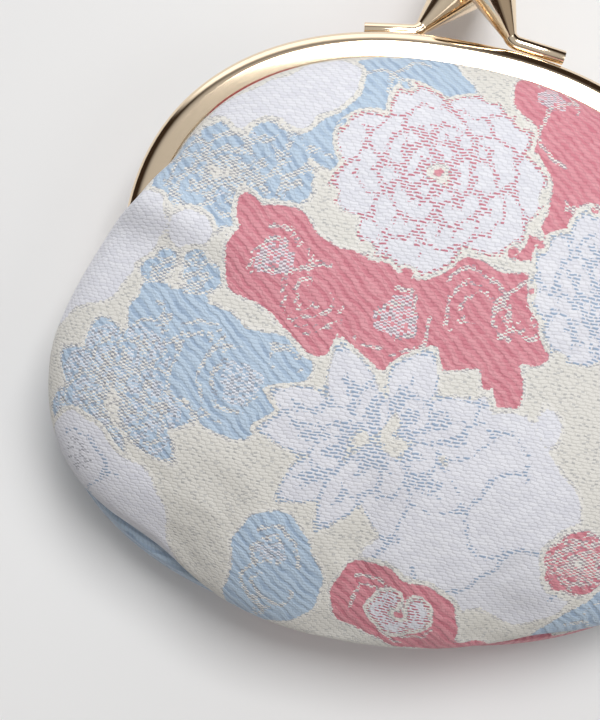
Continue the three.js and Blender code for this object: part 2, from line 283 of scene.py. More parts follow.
@dataclass(frozen=True)
class Jacquard:
    """Woven jacquard: satin floats of lilac white, blue and rose weft over a greige ground.

    The figures come from the mesh as signed distances in millimetres, negative inside. The woven steps,
    stitches and twill ridges are drawn here at their real size: a row of weft every 0.54 mm, floats of
    one to two millimetres, and twill ridges one and a half millimetres apart. The grooves round the floats
    and the twill furrows are also painted darker in the colour, as painted shade.
    """

    ground: str = "#E2E0DA"
    fleck: str = "#BFBFBE"
    white: str = "#E8E9F0"
    white_low: str = "#D2D3DE"
    blue: str = "#BED1E4"
    # The darker blue below draws lines, and is also painted into the twill furrows as painted shade.
    blue_deep_and_shade: str = "#97ADC8"
    rose: str = "#E09CA6"
    # The darker rose below draws lines and the weft's uneven rows, and is also painted into the twill furrows
    # as painted shade.
    rose_deep_and_shade: str = "#C76F80"
    cream: str = "#EAE8E3"
    tie: str = "#999AA4"
    row_mm: float = 0.54
    float_mm: float = 1.45
    ridge_mm: float = 1.5
    ridge_slope: float = 40.0
    stitch_mm: float = 0.54
    wander_mm: float = 0.9
    ragged_mm: float = 0.35
    edge_soft_mm: float = 0.06
    row_share: float = 0.52
    dash_end: float = 0.74
    tie_start: float = 0.86
    relief_mm: float = 0.14
    relief_strength: float = 0.55
    roughness: float = 0.6
    specular: float = 0.4
    sheen: float = 0.12
    sheen_roughness: float = 0.4

    def material(self) -> bpy.types.Material:
        """Builds the finish's nodes.

        Returns:
            The material.
        """
        made, graph, shader = new_material("jacquard_cloth")
        flat = graph.add("UVMap", uv_map="cloth").outputs["UV"]
        place = graph.add("SeparateXYZ", {0: flat}).outputs
        u, v = place[0], place[1]
        # The beaten weft is never quite straight, and each row's floats start a step further on.
        wander = graph.add("TexNoise", {"Vector": flat, "Scale": 0.45, "Detail": 2.0}).outputs["Fac"]
        v = graph.math("ADD", v, graph.math("MULTIPLY", wander, self.wander_mm))
        rows = graph.math("DIVIDE", v, self.row_mm)
        row, in_row = graph.math("FLOOR", rows), graph.math("FRACT", rows)
        offset = graph.add("TexWhiteNoise", {"W": row}, noise_dimensions="1D").outputs["Value"]
        satin = graph.math("ADD", graph.math("MULTIPLY", row, 0.39), graph.math("MULTIPLY", offset, 0.25))
        floats = graph.math("ADD", graph.math("DIVIDE", u, self.float_mm), satin)
        step, in_float = graph.math("FLOOR", floats), graph.math("FRACT", floats)
        cell = graph.add("CombineXYZ", {0: step, 1: row, 2: 0.0}).outputs[0]
        chance = graph.add("TexWhiteNoise", {"Vector": cell}, noise_dimensions="2D").outputs["Value"]
        # Small stitches, two to a row, in a checker.
        column = graph.math("FLOOR", graph.math("DIVIDE", u, self.stitch_mm))
        half_row = graph.math("FLOOR", graph.math("MULTIPLY", rows, 2.0))
        checker = graph.math("FLOORED_MODULO", graph.math("ADD", column, half_row), 2.0)
        dot = graph.add("CombineXYZ", {0: column, 1: half_row, 2: 3.0}).outputs[0]
        luck = graph.add("TexWhiteNoise", {"Vector": dot}, noise_dimensions="3D").outputs["Value"]
        ragged = graph.math("MULTIPLY", graph.math("SUBTRACT", luck, 0.5), self.ragged_mm)
        upper = graph.math("LESS_THAN", in_row, self.row_share)
        in_dash = graph.math("LESS_THAN", in_float, self.dash_end)
        in_tie = graph.math("GREATER_THAN", in_float, self.tie_start)

        def distance(name: str) -> bpy.types.NodeSocket:
            """Returns the named figure's signed distance, stepped as the weave steps."""
            signed = graph.add("Attribute", attribute_name=name).outputs["Fac"]
            return graph.math("ADD", signed, ragged)

        def within(signed: bpy.types.NodeSocket, limit: float = 0.0) -> bpy.types.NodeSocket:
            """Returns 1 where the distance is below the limit, with a slightly soft edge."""
            return graph.ramp(signed, limit + self.edge_soft_mm, limit - self.edge_soft_mm)

        def band(signed: bpy.types.NodeSocket, centre: float, half: float) -> bpy.types.NodeSocket:
            """Returns 1 within half of a line that runs beside the figure's edge."""
            return within(graph.math("ABSOLUTE", graph.math("SUBTRACT", signed, centre)), half)

        def product(*factors: object) -> bpy.types.NodeSocket:
            """Multiplies masks.

            Args:
                factors: sockets or numbers.

            Returns:
                Their product.
            """
            result = factors[0]
            for factor in factors[1:]:
                result = graph.math("MULTIPLY", result, factor)
            return result

        signed = {name: distance(name) for name in ("blue", "rose", "white", "stipple")}
        inside = {name: within(value) for name, value in signed.items()}
        coloured = graph.math("MAXIMUM", inside["blue"], inside["rose"])

        # Twill ridges run down to the right; rows of rose weft vary a little from one to the next. The furrows
        # between the ridges are painted darker in the blue and rose, as painted shade.
        slope = math.radians(self.ridge_slope)
        along_u = graph.math("MULTIPLY", u, math.sin(slope))
        along_v = graph.math("MULTIPLY", v, math.cos(slope))
        along = graph.math("ADD", along_u, along_v)
        drift = graph.add("TexNoise", {"Vector": flat, "Scale": 0.25, "Detail": 1.0}).outputs["Fac"]
        ridges_along = graph.math("DIVIDE", along, self.ridge_mm)
        phase = graph.math("ADD", ridges_along, graph.math("MULTIPLY", drift, 1.2))
        ridge = graph.math("SINE", graph.math("MULTIPLY", phase, math.tau))
        furrow = graph.ramp(ridge, -0.9, 0.45, (1.0, 0.0))
        fade = graph.ramp(drift, 0.35, 0.6, (0.35, 1.0))
        # Painted shade: the blue goes darker in the twill furrows.
        blue_furrow_shade = graph.math("MULTIPLY", graph.math("MULTIPLY", furrow, fade), 0.75)
        uneven_rows = graph.math("MULTIPLY", chance, 0.38)
        # Rose goes darker in the furrows as painted shade, and by row at random as the weft's own tone.
        rose_tone_and_furrow_shade = graph.math("ADD", graph.math("MULTIPLY", furrow, 0.42), uneven_rows)
        blue = graph.mix(blue_furrow_shade, linear(self.blue), linear(self.blue_deep_and_shade))
        rose = graph.mix(rose_tone_and_furrow_shade, linear(self.rose), linear(self.rose_deep_and_shade))
        white = graph.mix(graph.math("MULTIPLY", chance, 0.5), linear(self.white), linear(self.white_low))
        flecks = product(graph.math("LESS_THAN", luck, 0.2), checker, 0.8)
        colour = graph.mix(flecks, linear(self.ground), linear(self.fleck))
        colour = graph.mix(inside["blue"], colour, blue)
        colour = graph.mix(inside["rose"], colour, rose)
        colour = graph.mix(inside["white"], colour, white)

        # A shaded part of a figure is a checker of white and dark stitches over its colour.
        light_dots = product(inside["stipple"], checker, graph.math("LESS_THAN", luck, 0.85))
        plain = graph.math("SUBTRACT", 1.0, checker)
        dark_dots = product(inside["stipple"], plain, graph.math("LESS_THAN", luck, 0.42))
        colour = graph.mix(graph.math("MULTIPLY", light_dots, 0.85), colour, linear(self.white))
        colour = graph.mix(graph.math("MULTIPLY", dark_dots, 0.75), colour, linear(self.tie))

        # Each figure is bound by a row of light stitches with dark ties between them.
        for name in ("blue", "rose", "white"):
            edge = band(signed[name], 0.28, 0.34)
            colour = graph.mix(product(edge, 0.85), colour, linear(self.cream))
            ties = product(band(signed[name], 0.1, 0.28), checker, graph.math("LESS_THAN", luck, 0.6))
            colour = graph.mix(graph.math("MULTIPLY", ties, 0.6), colour, linear(self.tie))

        # Drawn lines: dashes of coloured weft on white, light stitches with dark ties on blue and rose.
        for name, low in (("rose_line", self.rose_deep_and_shade), ("blue_line", self.blue_deep_and_shade)):
            near = band(distance(name), 0.0, 0.42)
            colour = graph.mix(product(near, upper, in_dash, 0.92), colour, linear(low))
            colour = graph.mix(product(near, upper, in_tie, 0.55), colour, linear(self.tie))
        stitched = band(distance("cream_line"), 0.0, 0.36)
        colour = graph.mix(product(stitched, checker), colour, linear(self.cream))
        ties = product(stitched, plain, graph.math("LESS_THAN", luck, 0.55), 0.7)
        colour = graph.mix(ties, colour, linear(self.tie))

        # Each float is a small rounded bar, lower at its ends and between the rows. The colour is painted
        # darker in these hollows as painted shade, and the same hollows feed the bump.
        off_middle = graph.math("SUBTRACT", in_float, 0.5)
        tilted = graph.math("ADD", in_row, graph.math("MULTIPLY", off_middle, 0.35))
        off_row = graph.math("ABSOLUTE", graph.math("SUBTRACT", tilted, 0.5))
        groove = graph.ramp(off_row, 0.22, 0.52, (0.0, 0.8))
        end = graph.ramp(graph.math("ABSOLUTE", off_middle), 0.4, 0.5, (0.0, 0.75))
        hollow = graph.math("MAXIMUM", groove, end)
        # Painted shade: the colour is darkened by up to 16 per cent in the grooves and at the float ends.
        shade = graph.ramp(hollow, 0.0, 1.0, (1.0, 0.84))
        groove_shade_grey = graph.add("CombineColor", {0: shade, 1: shade, 2: shade}).outputs[0]
        groove_shaded_colour = graph.add("Mix", {0: 1.0, 6: colour, 7: groove_shade_grey}, data_type="RGBA", blend_type="MULTIPLY")
        graph.tree.links.new(groove_shaded_colour.outputs[2], shader.inputs["Base Color"])

        ridges = graph.math("MULTIPLY", graph.math("MULTIPLY", furrow, coloured), 0.9)
        height = graph.math("SUBTRACT", 1.0, graph.math("ADD", graph.math("MULTIPLY", hollow, 0.6), ridges))
        relief = {"Height": height, "Distance": self.relief_mm * MM, "Strength": self.relief_strength}
        bump = graph.add("Bump", relief)
        graph.tree.links.new(bump.outputs["Normal"], shader.inputs["Normal"])
        shader.inputs["Roughness"].default_value = self.roughness
        shader.inputs["Specular IOR Level"].default_value = self.specular
        shader.inputs["Sheen Weight"].default_value = self.sheen
        shader.inputs["Sheen Roughness"].default_value = self.sheen_roughness
        return made


@dataclass(frozen=True)
class TwistedPaper:
    """Kraft paper twisted into a cord: matt and fibrous."""

    colour: str = "#CDB48C"
    shade: str = "#A88A5E"
    fibre_mm: float = 0.5
    roughness: float = 0.9

    def material(self) -> bpy.types.Material:
        """Builds the finish's nodes.

        Returns:
            The material.
        """
        made, graph, shader = new_material("twisted_kraft_paper")
        place = graph.add("TexCoord").outputs["Object"]
        fibres = graph.add("TexNoise", {"Vector": place, "Scale": 1 / (self.fibre_mm * MM), "Detail": 3.0})
        colour = graph.mix(fibres.outputs["Fac"], linear(self.colour), linear(self.shade))
        graph.tree.links.new(colour, shader.inputs["Base Color"])
        shader.inputs["Roughness"].default_value = self.roughness
        return made


@dataclass(frozen=True)
class PlainCloth:
    """Plain-woven cotton or needled wadding: matt, with a fine thread grid."""

    name: str
    colour: str
    shade: str
    thread_mm: float
    relief_mm: float = 0.1
    relief_strength: float = 0.4
    roughness: float = 0.85

    def material(self) -> bpy.types.Material:
        """Builds the finish's nodes.

        Returns:
            The material.
        """
        made, graph, shader = new_material(self.name)
        flat = graph.add("UVMap", uv_map="cloth").outputs["UV"]
        threads = graph.add("TexNoise", {"Vector": flat, "Scale": 1 / self.thread_mm, "Detail": 2.0})
        colour = graph.mix(threads.outputs["Fac"], linear(self.colour), linear(self.shade))
        graph.tree.links.new(colour, shader.inputs["Base Color"])
        bump = graph.add("Bump", {"Height": threads.outputs["Fac"], "Distance": self.relief_mm * MM,
                                  "Strength": self.relief_strength})
        graph.tree.links.new(bump.outputs["Normal"], shader.inputs["Normal"])
        shader.inputs["Roughness"].default_value = self.roughness
        return made


# ---- the frame's arch ----


@dataclass(frozen=True)
class Arch:
    """The outer edge of a frame half: a superellipse over the hinge axis."""

    half_width: float = 50.0
    rise: float = 39.5
    squareness: float = 2.27
    leg_end: float = 3.2
    channel_depth: float = 4.6
    channel_low: float = 0.2
    channel_high: float = 4.6
    sheet: float = 0.8
    cloth_inset: float = 4.95

    def angles(self, bottom: float, count: int) -> np.ndarray:
        """Returns count angles from the right leg to the left leg, both at height bottom."""
        low = math.asin((bottom / self.rise) ** (self.squareness / 2))
        return np.linspace(low, math.pi - low, count)

    def points(self, angles: np.ndarray, inset: float) -> np.ndarray:
        """Gives points on the arch, moved square to it towards the pouch.

        Args:
            angles: as angles() gives them.
            inset: the distance from the outer edge.

        Returns:
            An array of x, y pairs.
        """
        cosine, sine = np.cos(angles), np.sin(angles)
        x = np.sign(cosine) * self.half_width * np.abs(cosine) ** (2 / self.squareness)
        y = self.rise * np.abs(sine) ** (2 / self.squareness)
        out_x = np.sign(x) * np.abs(x / self.half_width) ** (self.squareness - 1) / self.half_width
        out_y = (y / self.rise) ** (self.squareness - 1) / self.rise
        size = np.hypot(out_x, out_y)
        return np.stack([x - inset * out_x / size, y - inset * out_y / size], axis=-1)


# ---- the workbench ----


class Bench:
    """Edit mode on one piece: starts from a primitive, shapes it by operators and hands it over.

    Attributes:
        piece: the object being shaped, in millimetres about the hinge axis.
    """

    def __init__(self, name: str, primitive: str, **size: object) -> None:
        """Adds the primitive and enters edit mode.

        Args:
            name: the piece's name.
            primitive: such as "cube".
            size: the primitive operator's own settings.
        """
        bpy.ops.object.select_all(action="DESELECT")
        getattr(bpy.ops.mesh, f"primitive_{primitive}_add")(**size)
        self.piece = bpy.context.object
        self.piece.name = self.piece.data.name = name
        bpy.ops.object.transform_apply(location=True, rotation=True, scale=True)
        bpy.ops.object.mode_set(mode="EDIT")

    def pick(self, kind: str, test: Callable[[Vector, Vector], bool]) -> None:
        """Selects the elements whose middle and normal pass the test, and nothing else.

        Args:
            kind: "VERT", "EDGE" or "FACE".
            test: takes the middle and the normal (an edge's is the sum of its faces').
        """
        bpy.ops.mesh.select_mode(type=kind)
        bpy.ops.mesh.select_all(action="DESELECT")
        mesh = bmesh.from_edit_mesh(self.piece.data)
        mesh.normal_update()
        for item in {"VERT": mesh.verts, "EDGE": mesh.edges, "FACE": mesh.faces}[kind]:
            if kind == "VERT":
                middle, normal = item.co, item.normal
            elif kind == "EDGE":
                middle = (item.verts[0].co + item.verts[1].co) / 2
                normal = sum((face.normal for face in item.link_faces), Vector())
            else:
                middle, normal = item.calc_center_median(), item.normal
            if test(middle, normal):
                item.select_set(True)
        mesh.select_flush_mode()
        bmesh.update_edit_mesh(self.piece.data)

    def extrude(self, x: float, y: float, z: float) -> None:
        """Extrudes what is selected by that much."""
        bpy.ops.mesh.extrude_region_move(TRANSFORM_OT_translate={"value": (x, y, z)})

    def move(self, x: float, y: float, z: float) -> None:
        """Moves what is selected."""
        bpy.ops.transform.translate(value=(x, y, z))

    def bevel(self, width: float, segments: int) -> None:
        """Rounds the selected edges."""
        bpy.ops.mesh.bevel(offset=width, segments=segments, affect="EDGES", clamp_overlap=True)

    def slice(self, axis: int, stops: Iterable[float]) -> None:
        """Cuts the whole piece across an axis at each stop, so that it can follow a curve.

        Args:
            axis: 0, 1 or 2 for x, y or z.
            stops: where the cuts are along it.
        """
        normal = [0.0, 0.0, 0.0]
        normal[axis] = 1.0
        for stop in stops:
            bpy.ops.mesh.select_all(action="SELECT")
            bpy.ops.mesh.bisect(plane_co=tuple(n * stop for n in normal), plane_no=normal)

    def leave(self) -> bpy.types.Object:
        """Leaves edit mode, with its faces turned outwards.

        Returns:
            The piece.
        """
        bpy.ops.mesh.select_all(action="SELECT")
        bpy.ops.mesh.remove_doubles(threshold=0.0005)
        bpy.ops.mesh.normals_make_consistent(inside=False)
        bpy.ops.object.mode_set(mode="OBJECT")
        return self.piece


def path_curve(name: str, points: Iterable[Iterable[float]], smooth: bool) -> tuple[bpy.types.Object, float]:
    """Lays a curve through points.

    Args:
        name: the curve's name.
        points: where it goes.
        smooth: whether it runs smoothly through them or straight between them.

    Returns:
        The curve's object and its length.
    """
    curve = bpy.data.curves.new(name, "CURVE")
    curve.dimensions = "3D"
    curve.twist_mode = "Z_UP"
    curve.resolution_u = 12
    spline = curve.splines.new("BEZIER")
    points = [Vector(point) for point in points]
    spline.bezier_points.add(len(points) - 1)
    for knot, point in zip(spline.bezier_points, points):
        knot.co = point
        knot.handle_left_type = knot.handle_right_type = "AUTO" if smooth else "VECTOR"
    path = bpy.data.objects.new(name, curve)
    bpy.context.scene.collection.objects.link(path)
    bpy.context.view_layer.update()
    return path, spline.calc_length()


def bend_along(piece: bpy.types.Object, path: bpy.types.Object) -> None:
    """Bends a piece that was modelled along x from 0, and drops the curve.

    Args:
        piece: the piece.
        path: the curve that it is to follow.
    """
    bpy.context.view_layer.objects.active = piece
    modifier = piece.modifiers.new("follow", "CURVE")
    modifier.object = path
    modifier.deform_axis = "POS_X"
    bpy.ops.object.modifier_apply(modifier=modifier.name)
    bpy.data.objects.remove(path)


def join(pieces: list[bpy.types.Object]) -> bpy.types.Object:
    """Joins pieces into the first one.

    Args:
        pieces: the objects.

    Returns:
        The joined object.
    """
    bpy.ops.object.select_all(action="DESELECT")
    for piece in pieces:
        piece.select_set(True)
    bpy.context.view_layer.objects.active = pieces[0]
    if len(pieces) > 1:
        bpy.ops.object.join()
    return bpy.context.view_layer.objects.active


def hand_over(
    piece: bpy.types.Object, placing: Placing, finish: bpy.types.Material, node: str, body: str,
    crease: float = 35.0, level: bool = False,
) -> bpy.types.Object:
    """Puts a finished piece in its place in the frame.

    Args:
        piece: the object, in millimetres about the hinge axis.
        placing: where the axis is.
        finish: its material.
        node: the CAD node that it stands for.
        body: the body that carries it.
        crease: the angle in degrees past which an edge stays sharp.
        level: whether large faces are to shade flat beside their rounded edges.

    Returns:
        The object.
    """
    piece.data.transform(placing.matrix())
    piece.data.materials.clear()
    piece.data.materials.append(finish)
    bpy.ops.object.select_all(action="DESELECT")
    piece.select_set(True)
    bpy.context.view_layer.objects.active = piece
    bpy.ops.object.shade_smooth_by_angle(angle=math.radians(crease))
    if level:
        modifier = piece.modifiers.new("level_faces", "WEIGHTED_NORMAL")
        modifier.keep_sharp = True
        bpy.ops.object.modifier_apply(modifier=modifier.name)
    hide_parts(node)
    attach(piece, body)
    LOG.info("%s stands for %s: %d faces", piece.name, node, len(piece.data.polygons))
    return piece


# ---- the frame halves ----


@dataclass(frozen=True)
class FrameHalves:
    """Two U-shaped channels of folded, rounded and plated sheet, each with an eye at its leg ends."""

    placing: Placing
    finish: bpy.types.Material
    arch: Arch = field(default_factory=Arch)
    slices: int = 72
    knots: int = 49
    channel_end: float = 1.6
    shoulder: float = 1.5
    shoulder_drop: float = 1.0
    shoulder_soft: float = 0.7
    shoulder_segments: int = 4
    lip: float = 0.28
    lip_segments: int = 3
    square_end: float = 1.0
    lug_radius: float = 2.6
    lug_reach: float = 6.4
    lug_clearance: float = 0.4
    lug_under_shoulder: float = 0.25
    lug_foot: float = 0.4
    cut_rise: float = 2.25
    neck: float = 2.0
    rim: float = 0.12
    edge_round: float = 0.1
    edge_segments: int = 2
    step_foot: float = 0.3
    step_gap: float = 0.05
    rivet_room: float = 1.05

    def channel(self, side: Side) -> bpy.types.Object:
        """Models a straight bar with a trough in it and bends it over the arch.

        Args:
            side: which half.

        Returns:
            The channel.
        """
        arch = self.arch
        angles = arch.angles(self.channel_end, self.knots)[::-1]
        points = [(x, y, 0.0) for x, y in arch.points(angles, 0.0)]
        path, length = path_curve("arch_line", points, smooth=True)
        low, high = arch.channel_low, arch.channel_high
        # Along x from the left leg; -y is towards the pouch.
        bench = Bench(
            f"{side.word}_frame_channel", "cube", size=1,
            location=(length / 2, -arch.channel_depth / 2, (low + high) / 2),
            scale=(length, arch.channel_depth, high - low),
        )
        bench.pick("FACE", lambda c, n: n.y < -0.9)
        bpy.ops.mesh.inset(thickness=arch.sheet, depth=0)
        bench.extrude(0, arch.channel_depth - arch.sheet, 0)
        # The trough runs on through both ends, but for so little that no two corners meet.
        for end, turn in ((0.0, 1), (length, -1)):
            bench.pick("VERT", lambda c, n: NEAR < abs(c.x - end) < 2 * arch.sheet)
            bench.move(-turn * arch.sheet * 0.999, 0, 0)
        # The shoulder is a slanting facet with soft edges; the folded edges are only broken.
        near_top, near_low = high - NEAR, low + NEAR
        from_end, to_end = self.square_end, length - self.square_end
        bench.pick("EDGE", lambda c, n: c.y > -NEAR and c.z > near_top)
        bench.bevel(self.shoulder, 1)
        bench.pick("VERT", lambda c, n: abs(c.y) < NEAR and abs(c.z - high + self.shoulder) < NEAR)
        bench.move(0, 0, self.shoulder - self.shoulder_drop)
        bench.pick("EDGE", lambda c, n: from_end < c.x < to_end and c.z > high - self.shoulder_drop - NEAR
                   and (abs(c.y) < NEAR or (abs(c.y + self.shoulder) < NEAR and c.z > near_top)))
        bench.bevel(self.shoulder_soft, self.shoulder_segments)
        bench.pick("EDGE", lambda c, n: c.y > -NEAR and c.z < near_low)
        bench.bevel(self.lip, self.lip_segments)
        bench.pick("EDGE", lambda c, n: c.y < NEAR - arch.channel_depth and from_end < c.x < to_end
                   and (c.z > near_top or c.z < near_low))
        bench.bevel(self.lip, self.lip_segments)
        bench.slice(0, [length * i / self.slices for i in range(1, self.slices)])
        channel = bench.leave()
        bend_along(channel, path)
        return channel

    def eye(self, side: Side) -> bpy.types.Object:
        """Models the right lug: a round eye on the hinge axis that widens into the channel.

        Args:
            side: which half; the front half's lug stands inside the rear one's.

        Returns:
            The lug.
        """
        arch, sheet = self.arch, self.arch.sheet
        outside = arch.half_width - (sheet + self.lug_clearance if side is Side.FRONT else 0)
        middle = outside - sheet / 2
        bench = Bench(
            f"{side.word}_lug", "cylinder", vertices=40, radius=self.lug_radius, depth=sheet,
            location=(middle, 0, 0), rotation=(0, math.pi / 2, 0),
        )
        # A slanted cut leaves room for the other half's channel; the cut face then grows up into its own.
        bpy.ops.mesh.select_all(action="SELECT")
        cut_low, cut_high = Vector((0, self.lug_radius, 0)), Vector((0, self.lug_radius / 2, self.cut_rise))
        across = cut_high - cut_low
        normal = Vector((0, across.z, -across.y)).normalized()
        bpy.ops.mesh.bisect(plane_co=cut_low, plane_no=normal, clear_outer=True, use_fill=True)
        bench.pick("FACE", lambda c, n: n.dot(normal) > 0.98 and abs((c - cut_low).dot(normal)) < 0.05)
        bench.extrude(0, self.neck, 0)
        # The neck's end is squared up at its top and its foot to meet the channel.
        top, halfway = arch.leg_end + self.lug_reach / 2, self.cut_rise / 2
        head_y, foot_y = cut_high.y + self.neck, cut_low.y + self.neck
        ceiling = arch.channel_high - self.shoulder_drop - self.lug_under_shoulder
        bench.pick("VERT", lambda c, n: c.y > head_y - self.rim and c.z > halfway)
        bench.move(0, top - head_y, ceiling - self.cut_rise)
        bench.pick("VERT", lambda c, n: c.y > head_y - self.rim and c.z < halfway)
        bench.move(0, top - foot_y, arch.channel_low + self.lug_foot)
        bench.pick("FACE", lambda c, n: abs(n.x) > 0.9)
        bpy.ops.mesh.inset(thickness=self.rim, depth=0.0)
        bench.pick("EDGE", lambda c, n: abs(n.x) > 0.5 and abs(n.y) + abs(n.z) > 0.5)
        bench.bevel(self.edge_round, self.edge_segments)
        lug = bench.leave()
        return self.bored(lug, middle)

    def bored(self, lug: bpy.types.Object, middle: float) -> bpy.types.Object:
        """Bores the rivet's hole through a lug.

        Args:
            lug: the lug.
            middle: its middle along the hinge axis.

        Returns:
            The lug.
        """
        drill = Bench("drill", "cylinder", vertices=32, radius=self.rivet_room, depth=4,
                      location=(middle, 0, 0), rotation=(0, math.pi / 2, 0)).leave()
        bpy.context.view_layer.objects.active = lug
        modifier = lug.modifiers.new("bore", "BOOLEAN")
        modifier.object = drill
        modifier.solver = "EXACT"
        bpy.ops.object.modifier_apply(modifier=modifier.name)
        bpy.data.objects.remove(drill)
        return lug

    def step(self, side: Side) -> bpy.types.Object:
        """Models the shim that joins the front half's inner lug to its channel's back.

        Args:
            side: which half.

        Returns:
            The shim.
        """
        arch = self.arch
        outside = arch.half_width - arch.sheet * 0.5
        inside = arch.half_width - arch.sheet - self.lug_clearance - arch.sheet
        low, high = arch.leg_end + self.step_gap, arch.leg_end + self.lug_reach / 2
        floor = arch.channel_low + self.step_foot
        ceiling = arch.channel_high - self.shoulder_drop - self.lug_under_shoulder
        bench = Bench(
            f"{side.word}_step", "cube", size=1,
            location=((inside + outside) / 2, (low + high) / 2, (floor + ceiling) / 2),
            scale=(outside - inside, high - low, ceiling - floor),
        )
        bench.pick("EDGE", lambda c, n: True)
        bench.bevel(self.edge_round, self.edge_segments)
        return bench.leave()

    def build(self) -> None:
        """Builds both halves and hands them over."""
        for side in (Side.FRONT, Side.REAR):
            parts = [self.channel(side)]
            corner = [self.eye(side)]
            if side is Side.FRONT:
                corner.append(self.step(side))
            for piece in corner:
                parts.append(piece)
                twin = piece.copy()
                twin.data = piece.data.copy()
                bpy.context.scene.collection.objects.link(twin)
                twin.data.transform(Matrix.Scale(-1, 4, (1, 0, 0)))
                twin.data.flip_normals()
                parts.append(twin)
            half = join(parts)
            if side is Side.REAR:
                # Drawn as a front half; mirrored in the plane between the two.
                half.data.transform(Matrix.Scale(-1, 4, (0, 0, 1)))
                half.data.flip_normals()
            half.name = half.data.name = f"{side.word}_frame_plated"
            hand_over(half, self.placing, self.finish, f"{side.word}_frame", side.body,
                      level=True)


@dataclass(frozen=True)
class KissLock:
    """The clasp: a wire foot lying on each arch, bent up into a flaring stem with a round bead."""

    placing: Placing
    finish: bpy.types.Material
    arch: Arch = field(default_factory=Arch)
    wire: float = 2.4
    foot_length: float = 9.0
    gap: float = 0.2
    foot_x: float = 7.5
    lean: float = 33.0
    stem_length: float = 14.5
    bead_radius: float = 5.5
    bead_gap: float = 0.4
    bend_radius: float = 2.2
    bend_steps: int = 10
    end_round: float = 0.14
    end_segments: int = 2
    cut_every: float = 0.3
    cuts_before_bend: float = 2.6
    cuts_past_bend: float = 0.6

    def route(self) -> list[Vector]:
        """Lays the wire's middle line.

        Returns:
            The cut end, the bend, and the stem up to the bead's middle.
        """
        arch = self.arch
        across = (arch.channel_low + arch.channel_high) / 2

        def on_arch(x: float) -> tuple[Vector, Vector]:
            """Finds the wire's place over the arch.

            Args:
                x: the place's x.

            Returns:
                The place, and the way along the arch to the right.
            """
            angle = np.array([math.acos((x / arch.half_width) ** (arch.squareness / 2))])
            here = arch.points(angle, -(self.wire / 2 + self.gap))[0]
            there = arch.points(angle - 0.001, -(self.wire / 2 + self.gap))[0]
            return Vector((*here, across)), Vector((*(there - here), 0)).normalized()

        rest, right = on_arch(self.foot_x + self.foot_length / 2)
        foot = rest - right * self.foot_length / 2
        height = self.bead_radius + self.bead_gap / 2
        rise = math.sqrt(self.stem_length**2 - (height - across) ** 2)
        lean = math.radians(self.lean)
        bead = Vector((foot.x - rise * math.sin(lean), foot.y + rise * math.cos(lean), height))
        up = (bead - foot).normalized()
        # The bend is an arc that touches the foot and the stem.
        between = right.angle(up)
        reach = self.bend_radius / math.tan(between / 2)
        centre = foot + (right + up).normalized() * (self.bend_radius / math.sin(between / 2))
        start, end = foot + right * reach - centre, foot + up * reach - centre
        sweep = start.angle(end)
        arc = [
            centre + (math.sin(sweep * (1 - t)) * start + math.sin(sweep * t) * end) / math.sin(sweep)
            for t in (i / self.bend_steps for i in range(self.bend_steps + 1))
        ]
        return [foot + right * self.foot_length, *arc, bead]

    def half(self, side: Side) -> bpy.types.Object:
        """Models one half: a bead, its cone drawn out into a wire with a cut end, and the bend in it.

        Args:
            side: which half.

        Returns:
            The piece.
        """
        route = self.route()
        path, length = path_curve("wire_line", route, smooth=False)
        flare = math.asin((self.bead_radius - self.wire / 2) / self.stem_length)
        # The bead's axis lies along x, with its middle at the end of the wire's line.
        bench = Bench(
            f"{side.word}_clasp_half", "uv_sphere", segments=40, ring_count=32, radius=self.bead_radius,
            location=(length, 0, 0), rotation=(0, math.pi / 2, 0),
        )
        touch = length - self.bead_radius * math.sin(flare)
        bpy.ops.mesh.select_all(action="SELECT")
        bpy.ops.mesh.bisect(plane_co=(touch, 0, 0), plane_no=(-1, 0, 0), clear_outer=True)
        radius = self.bead_radius * math.cos(flare)
        straight = (route[-1] - route[-2]).length
        cone_end, thin = length - straight, self.wire / 2
        bench.pick("EDGE", lambda c, n: abs(c.x - touch) < 0.001)
        bench.extrude(cone_end - touch, 0, 0)
        bpy.ops.transform.resize(value=(1, thin / radius, thin / radius), center_override=(cone_end, 0, 0))
        bench.pick("EDGE", lambda c, n: abs(c.x - cone_end) < 0.001)
        bench.extrude(-cone_end, 0, 0)
        bench.pick("EDGE", lambda c, n: abs(c.x) < 0.001)
        bpy.ops.mesh.edge_face_add()
        bench.pick("EDGE", lambda c, n: abs(c.x) < 0.001)
        bench.bevel(self.end_round, self.end_segments)
        first, last = self.foot_length - self.cuts_before_bend, cone_end + self.cuts_past_bend
        bench.slice(0, np.arange(first, last, self.cut_every).tolist())
        piece = bench.leave()
        bend_along(piece, path)
        return piece

    def build(self) -> None:
        """Builds both halves, the rear one as the front one turned round the line of the clasp."""
        front = self.half(Side.FRONT)
        rear = front.copy()
        rear.data = front.data.copy()
        bpy.context.scene.collection.objects.link(rear)
        rear.data.transform(Matrix.Rotation(math.pi, 4, "Y"))
        for side, piece in ((Side.FRONT, front), (Side.REAR, rear)):
            piece.name = piece.data.name = f"{side.word}_clasp_plated"
            hand_over(piece, self.placing, self.finish, f"{side.word}_clasp", side.body)


